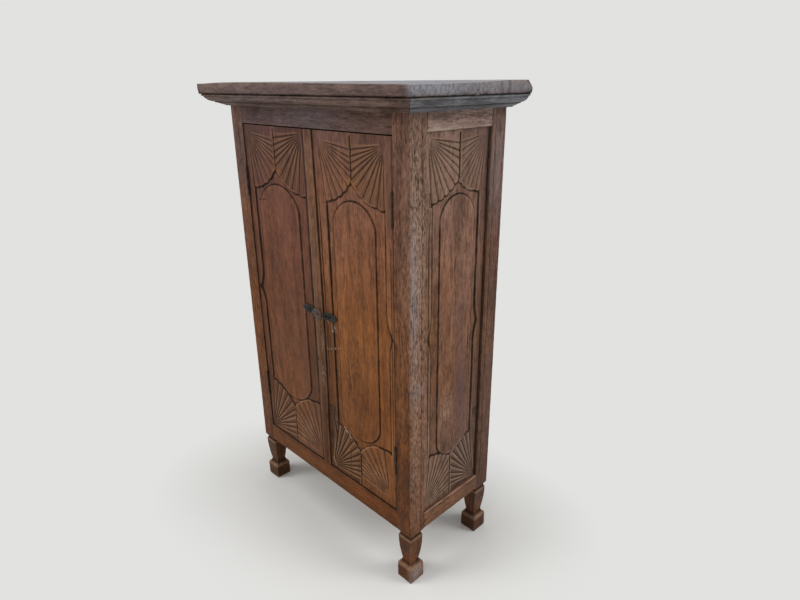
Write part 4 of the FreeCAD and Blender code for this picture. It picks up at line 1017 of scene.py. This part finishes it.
for k, (node, rail) in enumerate(rails.items()):
    _, sideWord, level = node.split("_")
    along = 1 if sideWord in ("right", "left") else 0
    low, high = corners(node)
    low[along], high[along] = low[along] + tenon, high[along] - tenon
    timber({"rounding": 1.6 * mm, **rail, "name": sideWord + level.capitalize() + "Rail",
            "nodes": [node], "along": along, "seed": 61 + k, "body": "carcass",
            "slot": "frame_wood", "spacing": 4 * mm, "step": 8 * mm}, low, high,
           wood["sideRail" if along else "frontRail"])
backBoard = dict(body="carcass", slot="inner_wood", along=2, rounding=1.0 * mm, wobble=0.7 * mm,
                 spacing=12 * mm, step=20 * mm)
for k in (1, 2, 3):
    node = "back_board_%d" % k
    timber({**backBoard, "name": "backBoard%d" % k, "nodes": [node], "seed": 70 + k},
           *corners(node), wood["insideUpright"])
print("rails and boards made")

# Each nick of the strip's edges: across, height, reach, depth
batten = dict(
    name="closingStrip", nodes=["meeting_batten"], body="left_door", slot="left_door_wood",
    seed=81, side=3.5 * mm, cell=4 * mm, worn=17 * mm,
    nicks=[(-0.013, 0.668, 5 * mm, 2.6 * mm), (0.0255, 0.905, 5 * mm, 1.6 * mm),
           (0.0255, 0.765, 6 * mm, 2.6 * mm), (0.0255, 0.700, 4 * mm, 1.8 * mm),
           (-0.0135, 1.05, 5 * mm, 1.2 * mm), (0.0255, 1.21, 4 * mm, 1.0 * mm),
           (0.0255, 0.45, 7 * mm, 1.8 * mm), (0.0255, 0.60, 5 * mm, 1.5 * mm)],
    tints=dict(
        stain=[(0.02, -0.165, 0.66, 0.02, 0.05, 0.12, 0.5),
               (0.0, -0.165, 0.45, 0.03, 0.05, 0.20, 0.35),
               (0.02, -0.165, 1.38, 0.02, 0.05, 0.02, 0.4),
               (-0.013, -0.165, 0.668, 0.008, 0.05, 0.01, 0.9)],
        pale=[(0.012, -0.165, 0.62, 0.01, 0.05, 0.03, 0.5),
              (0.016, -0.165, 0.73, 0.006, 0.05, 0.04, 0.4)]))


# The strip on the meeting edge: a low arch carried up, with nicks in its edges
def makeBatten(piece):
    low, high = battenLow, battenHigh
    middleX, side, back = (low[0] + high[0]) / 2, high[1] - piece["side"], high[1]
    z, drawn = roundedStations(low[2], high[2], 1.2 * mm, piece["cell"])
    ring = np.concatenate([
        arcThrough((low[0], side), (middleX, low[1]), (high[0], side), 21),
        [(high[0], back - 1.8 * mm)], np.linspace((high[0], back), (low[0], back), 6),
        [(low[0], back - 1.8 * mm)]])
    points = np.zeros((len(z), len(ring), 3))
    points[..., :2], points[..., 2] = ring, z[:, None]
    middle = np.array([middleX, back - 2 * mm])
    points[..., :2] += (middle - points[..., :2]) * (drawn[:, None, None] / (20 * mm))
    proud = np.clip((back - points[..., 1]) / (3 * mm), 0, 1)
    points[..., 1] += 0.6 * mm * proud * (0.5 + 0.5 * ripple(points, 0.09, piece["seed"]))
    for x, height, reach, depth in piece["nicks"]:
        near = proud * depth * np.exp(-((points[..., 2] - height) / reach) ** 2
                                      - ((points[..., 0] - x) / (5 * mm)) ** 2)
        points[..., 1] += near
        points[..., 0] += np.sign(middleX - x) * near
    edge = np.exp(-((np.abs(ring[:, 0] - middleX) - piece["worn"]) / (3 * mm)) ** 2)
    # the strip's side faces, which look into the gaps beside it, get painted shade
    ends = (ring[:, 0] > high[0] - 0.5 * mm) | (ring[:, 0] < low[0] + 0.5 * mm)
    whole = np.ones((len(z), 1))
    fields = {"wear": 0.8 * edge * whole, "grime": 0.6 * ends * whole,
              **{tint: spots(points, rows) for tint, rows in piece["tints"].items()}}
    return makePiece(piece, [loft(bowed(points))], wood["batten"], fields)


makeBatten(batten)
ledge = dict(slot="inner_wood", along=0, rounding=3.0 * mm, wobble=0.6 * mm)
for side, firstSeed in (("left", 91), ("right", 93)):
    for k, level in enumerate(("lower", "upper")):
        node = side + "_door_ledge_" + level
        timber({**ledge, "name": side + "Ledge" + level.capitalize(), "nodes": [node],
                "body": side + "_door", "seed": firstSeed + k}, *corners(node),
               wood["insideAcross"])

cornice = dict(
    out=74 * mm, pastBack=14 * mm, bead=3.2 * mm, foot=10 * mm, step=1.6 * mm, lean=8.5 * mm,
    ovoloOut=0.56, ovoloEnd=0.36, ovoloSwell=0.36, beadNear=0.15, beadFar=0.75, coveMid=0.42,
    wave=1.1 * mm, nibble=0.9 * mm, rise=0.5 * mm)
corniceLow, corniceHigh = corners("cornice_right")


# The moulding's section as (out, height): top bead, swelling ovolo, small bead, cove, foot
def corniceSection(c, z0, z1):
    out, b = c["out"] - c["lean"], c["bead"]
    beadEnd = z1 - 2 * b
    ovoloEnd = (out * c["ovoloOut"], z0 + (z1 - z0) * c["ovoloEnd"])
    second = (ovoloEnd[0] - c["step"], ovoloEnd[1])
    lowBead = (second[0] - b, second[1] - b)
    foot, start = (c["foot"], z0 + c["step"]), (out - b - c["step"], beadEnd)
    swell = (start[0] - (start[0] - ovoloEnd[0]) * c["ovoloSwell"],
             ovoloEnd[1] + (beadEnd - ovoloEnd[1]) * c["ovoloSwell"])
    lowMid = (second[0] - b * c["beadNear"], second[1] - b * c["beadFar"])
    coveTop = (lowBead[0] - c["step"], lowBead[1])
    cove = (c["foot"] + (lowBead[0] - c["foot"]) * c["coveMid"],
            foot[1] + (lowBead[1] - foot[1]) * c["coveMid"])
    return np.concatenate([
        [(0, z0), (0, z1)], arcThrough((out - b, z1), (out, z1 - b), (out - b, beadEnd), 10),
        arcThrough(start, swell, ovoloEnd, 14), arcThrough(second, lowMid, lowBead, 8),
        arcThrough(coveTop, cove, foot, 10), [(c["foot"], z0)]])


# A run of moulding: the section carried along a side, cut on the mitre by its outness.
# The side is 0 for the front, and 1 and -1 for right and left.
def makeMoulding(piece):
    section, side = corniceSection(cornice, corniceLow[2], corniceHigh[2]), piece["side"]
    out, z = section[:, 0], section[:, 1]
    share = np.linspace(0, 1, piece["stations"])[:, None]
    if side:
        along = (frontY - out) * (1 - share) + (backY + cornice["pastBack"]) * share
        parts = [side * (bodyHalf + out), along, z]
    else:
        along = (2 * share - 1) * (bodyHalf + out)
        parts = [along, frontY - out, z]
    points = np.stack(np.broadcast_arrays(*parts), -1)
    axis, away = (0, side) if side else (1, -1)
    free = np.clip(out / (20 * mm), 0, 1)
    wave = 0.5 + 0.5 * ripple(points * np.array([1, 1, 2.5]), 0.13, piece["seed"])
    nibble = np.clip(ripple(points, 0.035, piece["seed"] + 1), 0, 1)
    points[..., axis] -= away * free * (cornice["wave"] * wave + cornice["nibble"] * nibble)
    lift = cornice["rise"] * ripple(points, 0.17, piece["seed"] + 2)
    points[..., 2] += free * lift * (z < z.max() - 1 * mm)
    turn = np.abs(np.gradient(np.unwrap(np.arctan2(np.gradient(z), np.gradient(out)))))
    # a painted shadow line under the top bead, below the board's edge, and a darker line along
    # the cove: grime and painted shade
    grime = (0.6 * np.exp(-((z - z.min() - 11 * mm) / (2.0 * mm)) ** 2)
             + 0.5 * np.exp(-((z - z.max() + 7.5 * mm) / (1.4 * mm)) ** 2))
    whole = np.ones_like(along)
    fields = {"wear": np.clip(turn * 0.5 * (0.5 + nibble), 0, 1), "grime": grime * whole,
              "stain": 0.7 * (share > 1 - 1e-6) * whole,
              **{tint: spots(points, rows) for tint, rows in piece.get("tints", {}).items()}}
    return makePiece({**piece, "body": "carcass", "slot": "top_wood"}, [loft(points)],
                     wood["sideCornice" if side else "frontCornice"], fields)


mouldings = [
    dict(name="frontCornice", nodes=["cornice_front"], side=0, seed=101, stations=190),
    dict(name="rightCornice", nodes=["cornice_right"], side=1, seed=102, stations=90,
         # a painted sheen on the side moulding, and a thin painted highlight line near its top
         tints=dict(bloom=[(0.45, 0.20, 1.48, 0.06, 0.10, 0.05, 0.30)],
                    scuff=[(0.4765, -0.16, 1.487, 0.01, 0.06, 0.003, 0.5)])),
    dict(name="leftCornice", nodes=["cornice_left"], side=-1, seed=103, stations=90)]
for moulding in mouldings:
    makeMoulding(moulding)

# The sags are given in mm by place along each edge; chips as for the posts
topLeaf = dict(
    lean=8.5 * mm, bulge=2.1 * mm, arris=2.6 * mm, spacing=6 * mm, reach=95 * mm,
    frontSag=[(-0.485, 4.0), (-0.40, 2.5), (-0.25, 0.4), (-0.10, 1.0), (0.10, 3.0), (0.30, 5.5),
              (0.478, 7.5)],
    sideSag=[(-0.238, 7.5), (-0.15, 7.2), (-0.05, 6.2), (0.05, 3.2), (0.12, 1.0), (0.238, 0.6)],
    inward=(0.99, 0.85, 0.68, 0.5, 0.35, 0.24, 0.15, 0.08, 0.04), check=1.2 * mm,
    chipTall=0.65, chipEnds=0.48,
    chips=[(0.485, 0.232, 1.524, 19 * mm, 19 * mm), (0.485, 0.234, 1.512, 9 * mm, 3 * mm),
           (0.485, 0.150, 1.523, 7 * mm, 3 * mm), (-0.485, -0.238, 1.521, 8 * mm, 4 * mm),
           (0.12, -0.2385, 1.522, 9 * mm, 2.5 * mm), (0.485, -0.07, 1.5225, 12 * mm, 2.5 * mm),
           (0.485, -0.238, 1.49, 9 * mm, 4 * mm), (0.36, -0.2385, 1.519, 8 * mm, 2.5 * mm),
           (-0.25, -0.2385, 1.4895, 10 * mm, 2 * mm), (0.02, -0.2385, 1.4895, 12 * mm, 2 * mm)],
    # painted sheen and highlights: the reflection along the side end and near its front corner
    bloom=[(0.49, 0.0, 1.505, 0.016, 0.5, 0.03, 0.82),
           (0.49, -0.16, 1.508, 0.016, 0.10, 0.03, 0.9)])


# How far the top has sunk: most at its front right corner, nothing a hand's width inwards
def topSag(points):
    x, y = points[..., 0], points[..., 1]
    front, side = np.array(topLeaf["frontSag"]), np.array(topLeaf["sideSag"])
    fromFront = 1 - ease((y - frontY + cornice["out"]) / topLeaf["reach"])
    fromSide = 1 - ease((bodyHalf + cornice["out"] - x) / topLeaf["reach"])
    return mm * np.maximum(np.interp(x, front[:, 0], front[:, 1]) * fromFront,
                           np.interp(y, side[:, 0], side[:, 1]) * fromSide)


# A top board: rounded rectangles drawn in towards its middle line on the underside and
# the top, and leaning outwards up its free sides
def makeTopBoard(node, name, seamSide, seed):
    low, high = corners(node)
    half, middle = (high - low)[:2] / 2, (high + low)[:2] / 2
    r, tall = topLeaf["arris"], high[2] - low[2]
    place, out, _ = ringShares([int(2 * half[k] / topLeaf["spacing"]) for k in (1, 0)])
    free = np.where(out[:, 1] * seamSide > 0.5, 0.0, 1.0)
    inward = np.array(topLeaf["inward"]) * half[1]
    turn, rise = np.linspace(0, np.pi / 2, 5), np.linspace(0, 1, 11)[1:-1]
    rounded, lift = r * (1 - np.sin(turn)), r * (1 - np.cos(turn))
    drawn = np.concatenate([inward, rounded, rise * 0, rounded[::-1], inward[::-1]])
    z = np.concatenate([inward * 0, lift, r + rise * (tall - 2 * r), tall - lift[::-1],
                        inward * 0 + tall])
    up = z / tall
    lean = topLeaf["lean"] * (1 - up) - topLeaf["bulge"] * 4 * up * (1 - up)
    lean = lean - lean.min()
    deep, edge = np.maximum(drawn - r, 0)[:, None], np.minimum(drawn, r)[:, None]
    rim = deep <= 0
    points = np.zeros((len(z), len(place), 3))
    for k in (0, 1):
        points[..., k] = (middle[k] + place[:, k] * (half[k] - r - deep) + out[:, k] * (r - edge)
                          - out[:, k] * lean[:, None] * free * rim)
    points[..., 2] = (low[2] + z)[:, None]
    check = np.clip(ripple(points * np.array([1, 1, 0.3]), 0.014, seed + 1), 0, 1)
    slow = 1 + ripple(points * np.array([1, 1, 0.4]), 0.06, seed)
    sunk = rim * free * (0.5 * mm * slow + topLeaf["check"] * check)
    points[..., :2] -= out * sunk[..., None]
    # a chip pushes its surroundings straight in, along X at the ends and along Y in front
    for *spot, reach, depth in topLeaf["chips"]:
        off = (points - np.array(spot)) / (reach * np.array([1, 1, topLeaf["chipTall"]]))
        near = depth * np.exp(-(off ** 2).sum(-1)) * rim
        axis = 0 if abs(spot[0]) > topLeaf["chipEnds"] else 1
        points[..., axis] -= np.sign(spot[axis]) * near
        sunk = sunk + near
    onTop = (z > tall - 0.1 * mm)[:, None]
    points[..., 2] -= onTop * 0.25 * mm * (1 + ripple(points, 0.12, seed + 2))
    points[..., 2] -= topSag(points) * up[:, None]
    arris = (edge > 0.2 * mm) * rim
    sideEdge = np.clip((points[..., 0] - high[0] + 16 * mm) / (4 * mm), 0, 1)
    upper = np.clip((points[..., 2] - low[2] - 24 * mm) / (6 * mm), 0, 1)
    # the top gets a painted sheen all over; the upper part of the side end is lightened as wear
    # and as a painted highlight along its arris
    fields = {"wear": np.clip(arris * free * 0.8 + 0.5 * sideEdge * upper, 0, 1),
              "bloom": np.clip(spots(points, topLeaf["bloom"]) + onTop * 0.75, 0, 1),
              "grime": (np.clip(sunk / (3.5 * mm), 0, 1) * 0.25
                        + 0.5 * check * rim * free * (0.3 + 0.7 * sideEdge))}
    piece = {"name": name, "nodes": [node], "body": "carcass", "slot": "top_wood"}
    return makePiece(piece, [loft(points)], wood["topBoards"], fields)


makeTopBoard("top_board_front", "frontTopBoard", 1, 111)
makeTopBoard("top_board_back", "backTopBoard", -1, 112)
print("cornice and top made")

latchLow, latchHigh = corners("hasp")
leafLow, _ = corners("latch_leaf")
plateLow, plateHigh = corners("latch_plate")
latchZ = (latchLow[2] + latchHigh[2]) / 2
latchAxis = np.array(joints["hasp_swing"]["pos_m"][:2])


# A tube round a path: circles square to it, each with its own radius
def tube(path, radii, sides=14):
    path = np.asarray(path, float)
    along = np.gradient(path, axis=0)
    along /= np.linalg.norm(along, axis=1)[:, None]
    first = np.cross(along, [0.0, 0.0, 1.0])
    weak = np.linalg.norm(first, axis=1) < 1e-6
    first[weak] = [1.0, 0.0, 0.0]
    first /= np.linalg.norm(first, axis=1)[:, None]
    second = np.cross(along, first)
    turn = np.linspace(0, 2 * np.pi, sides, endpoint=False)
    radii = np.broadcast_to(radii, len(path))[:, None, None]
    return loft(path[:, None] + radii * (np.cos(turn)[:, None] * first[:, None]
                                         + np.sin(turn)[:, None] * second[:, None]))


# An upright round knuckle with eased ends
def knuckle(axis, radius, low, high):
    eased = 0.5 * mm
    z = np.array([low, low + eased, (low + high) / 2, high - eased, high])
    path = np.stack([np.full(5, axis[0]), np.full(5, axis[1]), z], -1)
    return tube(path, np.array([radius - eased, radius, radius * 0.97, radius, radius - eased]),
                20)


# The half outline of a drawn-out iron: a point, a round belly, a narrower foot
def pointedOutline(tip, foot, tall):
    run, half = foot - tip, tall / 2
    upper = arcThrough((tip, 0), (tip + run * 0.16, half * 0.62), (tip + run / 2, half), 17)
    neck = np.linspace((tip + run / 2, half), (foot, half * 0.62), 8)[1:]
    upper = np.concatenate([upper, neck])
    lower = upper[::-1][:-1] * np.array([1, -1])
    return np.concatenate([upper, np.linspace(upper[-1], lower[0], 6)[1:-1], lower])


# A hammered plate on the door's face: its outline drawn in step by step up a bevel
def ironPlate(outline, seed, thickness):
    centre = outline.mean(0)
    rings = []
    for scale, rise in latch["bevel"]:
        flat = centre + (outline - centre) * scale
        rings.append(np.stack([flat[:, 0], np.full(len(flat), doorFace - rise * thickness),
                               flat[:, 1] + latchZ], -1))
    rings = np.array(rings)
    rings[2:, :, 1] += 0.35 * mm * (ripple(rings[2:], 0.016, seed) * 0.5 + 0.5)
    return loft(rings)


# A round nail head: circles drawn in up a dome
def nailHead(centre, radius, rise, outward=(0, -1, 0)):
    outward = np.array(outward, float)
    first = np.cross(outward, [0, 0, 1.0])
    second = np.cross(outward, first)
    turn = np.linspace(0, 2 * np.pi, 16, endpoint=False)
    lift = np.linspace(0, np.pi / 2 - 0.08, 6)
    rings = [np.array(centre) + radius * math.cos(a) * (np.cos(turn)[:, None] * first
                                                       + np.sin(turn)[:, None] * second)
             + rise * math.sin(a) * outward for a in lift]
    return loft(np.array(rings))


# A flat bar with rounded edges: rounded rectangles square to X at each of the places
def flatBar(places, halfTall, perSide):
    place, out, _ = ringShares(perSide)
    return loft(np.array([np.stack([
        np.full(len(place), x), y + place[:, 0] * 0.7 * mm + out[:, 0] * 0.5 * mm,
        z + place[:, 1] * halfTall + out[:, 1] * 0.5 * mm], -1) for x, y, z in places]))


latch = dict(
    thickness=2.5 * mm, tall=28 * mm, knuckle=4.0 * mm, knuckleTall=9 * mm, clear=1.2 * mm,
    gap=0.3 * mm, ring=9.5 * mm, ringWire=1.6 * mm, haspThick=2.4 * mm, haspRound=9 * mm,
    heelRound=1.2 * mm, slotHalf=(7.5 * mm, 3.75 * mm), slotRound=3.7 * mm, slotIn=14.5 * mm,
    staple=2.2 * mm, stapleBend=8.5 * mm, stapleAt=24 * mm, stapleLeg=7.3 * mm,
    bevel=[(1.0, 0.0), (1.0, 0.35), (0.97, 0.75), (0.90, 1.0), (0.75, 0.92), (0.5, 0.85),
           (0.25, 0.9), (0.04, 0.95)],
    section=[(0.0, 0.25), (0.0, 0.8), (0.05, 1.0), (0.35, 0.93), (0.7, 0.95), (0.96, 1.0),
             (1.0, 0.85), (1.0, 0.2), (0.96, 0.0), (0.5, 0.0), (0.05, 0.0)])
pinX, knuckleRadius = latchAxis[0], latch["knuckle"]

# the left iron: a pointed plate with a raised ring, nails and the two outer knuckles
leftFoot = pinX - knuckleRadius - latch["clear"]
ringX = (leafLow[0] + leftFoot) / 2 + 4 * mm
ringTurn = np.linspace(0, 2 * np.pi, 32, endpoint=False)[:, None]
around = np.linspace(0, 2 * np.pi, 10, endpoint=False)[None, :]
ringOut = latch["ring"] + latch["ringWire"] * np.cos(around)
ringRise = latch["thickness"] + latch["ringWire"] * np.sin(around)
leftParts = [
    ironPlate(pointedOutline(leafLow[0], leftFoot, latch["tall"]), 121, latch["thickness"]),
    loft(np.stack([ringX + ringOut * np.cos(ringTurn), doorFace - ringRise + 0 * ringTurn,
                   latchZ + ringOut * np.sin(ringTurn)], -1), True),
    nailHead((leafLow[0] + 9 * mm, doorFace - 1.9 * mm, latchZ), 2.6 * mm, 1.6 * mm),
    nailHead((ringX, doorFace - 2.1 * mm, latchZ), 5.2 * mm, 2.6 * mm)]
innerLow, innerHigh = latchLow[2] + latch["knuckleTall"], latchHigh[2] - latch["knuckleTall"]
for z0, z1 in ((latchLow[2], innerLow), (innerHigh, latchHigh[2])):
    mid = (z0 + z1) / 2
    leftParts += [knuckle(latchAxis, knuckleRadius, z0, z1),
                  flatBar([(leftFoot - 4 * mm, doorFace - 1.2 * mm, mid),
                           (leftFoot + 1 * mm, doorFace - 1.2 * mm, mid),
                           (pinX - 0.5 * mm, doorFace - 1.6 * mm, mid)], 3.9 * mm, [3, 3])]
makePiece({"name": "leftIron", "nodes": ["latch_leaf", "latch_pin"], "body": "left_door",
           "slot": "iron"}, leftParts, iron["blackIron"])

# the hasp: a plate with a slot, made as a closed section carried round, and its knuckle
haspBack = battenLow[1] - latch["gap"]
haspEnd, haspStart = latchHigh[0], pinX + knuckleRadius + latch["clear"]
place, out, between = ringShares([12, 12], 7)
outerHalf = np.array([(haspEnd - haspStart) / 2, (latchHigh[2] - latchLow[2]) / 2])
rounds = (latch["haspRound"] * (place[:, 0] + 1) + latch["heelRound"] * (1 - place[:, 0])) / 2
outerRing = (np.array([(haspEnd + haspStart) / 2, latchZ])
             + place * (outerHalf - rounds[:, None]) + out * rounds[:, None])
slotRing = (np.array([haspEnd - latch["slotIn"], latchZ])
            + place * (np.array(latch["slotHalf"]) - latch["slotRound"])
            + out * latch["slotRound"])
share, rise = np.array(latch["section"]).T[:, :, None]
flat = outerRing * (1 - share[..., None]) + slotRing * share[..., None]
haspRings = np.stack(np.broadcast_arrays(
    flat[..., 0], haspBack - rise * latch["haspThick"], flat[..., 1]), -1)
dents = 0.25 * mm * (ripple(haspRings, 0.02, 131) + 1)
haspRings[..., 1] += dents * (haspRings[..., 1] < haspBack - 1 * mm)
innerLow, innerHigh = innerLow + latch["gap"], innerHigh - latch["gap"]
tangPlaces = [(x, haspBack - 1.2 * mm, latchZ) for x in (pinX, pinX + 4 * mm, haspStart + 1 * mm)]
makePiece({"name": "haspPlate", "nodes": ["hasp"], "body": "latch", "slot": "iron"},
          [loft(haspRings, True), knuckle(latchAxis, knuckleRadius, innerLow, innerHigh),
           flatBar(tangPlaces, (innerHigh - innerLow) / 2 - 0.5 * mm, [3, 6])],
          iron["greyIron"])

# the right iron: a pointed plate with a staple and nails
plateTip, legFront = plateHigh[0], doorFace - latch["thickness"] - latch["stapleLeg"]
bendTurn = np.linspace(np.pi, 2 * np.pi, 17)
bend = np.stack([plateLow[0] + latch["stapleAt"] + latch["stapleBend"] * np.cos(bendTurn),
                 legFront + latch["stapleBend"] * np.sin(bendTurn), np.full(17, latchZ)], -1)
legOne = np.linspace((bend[0, 0], doorFace, latchZ), bend[0], 6)[:-1]
legTwo = np.linspace(bend[-1], (bend[-1, 0], doorFace, latchZ), 6)[1:]
rightParts = [
    ironPlate(pointedOutline(plateTip, plateLow[0], latch["tall"]), 122, latch["thickness"]),
    tube(np.concatenate([legOne, bend, legTwo]), latch["staple"], 16),
    nailHead((plateTip - 9 * mm, doorFace - 1.9 * mm, latchZ), 2.6 * mm, 1.6 * mm),
    nailHead((plateTip - 23 * mm, doorFace - 2.0 * mm, latchZ + 5 * mm), 2.8 * mm, 1.8 * mm)]
makePiece({"name": "rightIron", "nodes": ["latch_plate"], "body": "right_door", "slot": "iron"},
          rightParts, iron["blackIron"])
print("latch made")

# Draw-bore pegs: the way that each face looks, its plane, and places along it and up it
pegs = dict(radius=4.6 * mm, rise=0.7 * mm, sink=0.9 * mm, stain=0.55)
pegFaces = [
    ((1, 0, 0), bodyHalf, [(-0.1188, 1.4306), (0.1879, 1.4226), (-0.131, 0.222), (0.190, 0.220)]),
    ((0, -1, 0), frontY, [(0.383, 1.3586), (0.372, 1.428), (-0.374, 1.426), (0.374, 0.226),
                          (-0.376, 0.224)]),
    ((-1, 0, 0), -bodyHalf, [(-0.120, 1.430), (0.187, 1.424), (-0.130, 0.221), (0.189, 0.219)]),
    ((0, 1, 0), backY, [(0.375, 1.430), (-0.374, 1.431), (0.376, 0.221), (-0.373, 0.223)])]
pegParts = []
for way, plane, places in pegFaces:
    for along, z in places:
        centre = np.array((plane, along, z) if way[0] else (along, plane, z))
        pegParts.append(nailHead(centre - pegs["sink"] * np.array(way), pegs["radius"],
                                 pegs["rise"], way))
makePiece({"name": "drawPegs", "body": "carcass", "slot": "frame_wood"}, pegParts,
          wood["upright"],
          {"stain": np.full(sum(len(part[0]) for part in pegParts), pegs["stain"])})

acrossNodes = ["floor_board_front", "floor_board_back", "shelf_1", "shelf_2", "shelf_3",
               "floor_cleat_front", "floor_cleat_back", "door_stop"]
for node, solid in frame["nodes"].items():
    if node in acrossNodes:
        finish = wood["insideAcross"]
    elif node.startswith("shelf_cleat"):
        finish = wood["insideCleat"]
    elif "hinge" in node:
        finish = iron["brownedIron"]
    else:
        continue
    solid.data.materials.clear()
    solid.data.materials.append(finish)
print("carried solids finished")

# Each lamp: its turn from straight down and about Z, strength and angle
studio = dict(
    ground=(0.760, 0.760, 0.745), skyLight=0.62, floorReach=30.0, footprint=(0.42, 0.21),
    fadeFrom=0.02, fadeTo=0.42,
    lamps=dict(overhead=(14, 0, 0.60, 50), leftWindow=(56, -36, 1.15, 26),
               rightWindow=(58, 124, 1.15, 26)))
view = dict(place=(1.3899, -1.1696, 1.5238), yaw=45.33, pitch=-20.95, roll=-0.54, lens=25.79)


# 1 for the rays that see the background: the camera's, reflected and passing through
def backgroundRays(tree):
    path = tree.nodes.new("ShaderNodeLightPath")
    seen = Value(tree, path.outputs["Is Camera Ray"])
    for name in ("Is Glossy Ray", "Is Transmission Ray"):
        seen = seen.math("MAXIMUM", Value(tree, path.outputs[name]))
    return seen


# The floor: plain near the cabinet, where it takes the shadow, and the background's own
# colour further off. The distance is taken from the cabinet's footprint.
def makeFloor():
    f = Finish("paleFloor")
    plain = f.node("ShaderNodeBsdfDiffuse", {}, {"Color": studio["ground"]})
    glow = f.node("ShaderNodeEmission", {}, {"Color": studio["ground"], "Strength": 1.0})
    spread = f.node("ShaderNodeVectorMath", {"operation": "ABSOLUTE"}, {0: f.place})
    outside = f.node("ShaderNodeVectorMath", {"operation": "SUBTRACT"},
                     {0: spread, 1: (*studio["footprint"], 0)})
    outside = f.node("ShaderNodeVectorMath", {"operation": "MAXIMUM"}, {0: outside, 1: (0, 0, 0)})
    off = f.node("ShaderNodeVectorMath", {"operation": "LENGTH"}, {0: outside}, "Value")
    fade = off.between(studio["fadeFrom"], studio["fadeTo"]) * backgroundRays(f.tree)
    blend = f.node("ShaderNodeMixShader", {}, {0: fade, 1: plain, 2: glow})
    f.node("ShaderNodeOutputMaterial", {}, {"Surface": blend})
    reach = studio["floorReach"]
    mesh = bpy.data.meshes.new("floor")
    mesh.from_pydata([(-reach, -reach, 0), (reach, -reach, 0), (reach, reach, 0),
                      (-reach, reach, 0)], [], [(0, 1, 2, 3)])
    mesh.materials.append(f.material)
    floor = bpy.data.objects.new("floor", mesh)
    bpy.context.scene.collection.objects.link(floor)


# The sky's light, shown at full strength only to the rays that see the background, and lamps
def makeLight():
    world = bpy.data.worlds.new("studio")
    bpy.context.scene.world = world
    world.use_nodes = True
    tree = world.node_tree
    tree.nodes.clear()
    background = tree.nodes.new("ShaderNodeBackground")
    plug(tree, background.inputs["Color"], studio["ground"])
    plug(tree, background.inputs["Strength"],
         backgroundRays(tree) * (1.0 - studio["skyLight"]) + studio["skyLight"])
    output = tree.nodes.new("ShaderNodeOutputWorld")
    tree.links.new(background.outputs[0], output.inputs["Surface"])
    for name, (tilt, azimuth, strength, angle) in studio["lamps"].items():
        light = bpy.data.lights.new(name, "SUN")
        light.energy, light.angle = strength, math.radians(angle)
        lamp = bpy.data.objects.new(name, light)
        lamp.matrix_world = (Matrix.Rotation(math.radians(azimuth), 4, "Z")
                             @ Matrix.Rotation(math.radians(tilt), 4, "X"))
        bpy.context.scene.collection.objects.link(lamp)


# The camera's turn: its yaw about Z, then its pitch up from level, then its roll
def makeCamera():
    yaw, pitch, roll = (math.radians(view[key]) for key in ("yaw", "pitch", "roll"))
    data = bpy.data.cameras.new("view")
    data.lens, data.sensor_width = view["lens"], 36.0
    camera = bpy.data.objects.new("view", data)
    turn = (Matrix.Rotation(yaw, 4, "Z") @ Matrix.Rotation(math.pi / 2 + pitch, 4, "X")
            @ Matrix.Rotation(roll, 4, "Z"))
    camera.matrix_world = Matrix.Translation(view["place"]) @ turn
    bpy.context.scene.collection.objects.link(camera)
    bpy.context.scene.camera = camera


makeFloor()
makeLight()
makeCamera()
bpy.context.scene.view_settings.view_transform = "Standard"
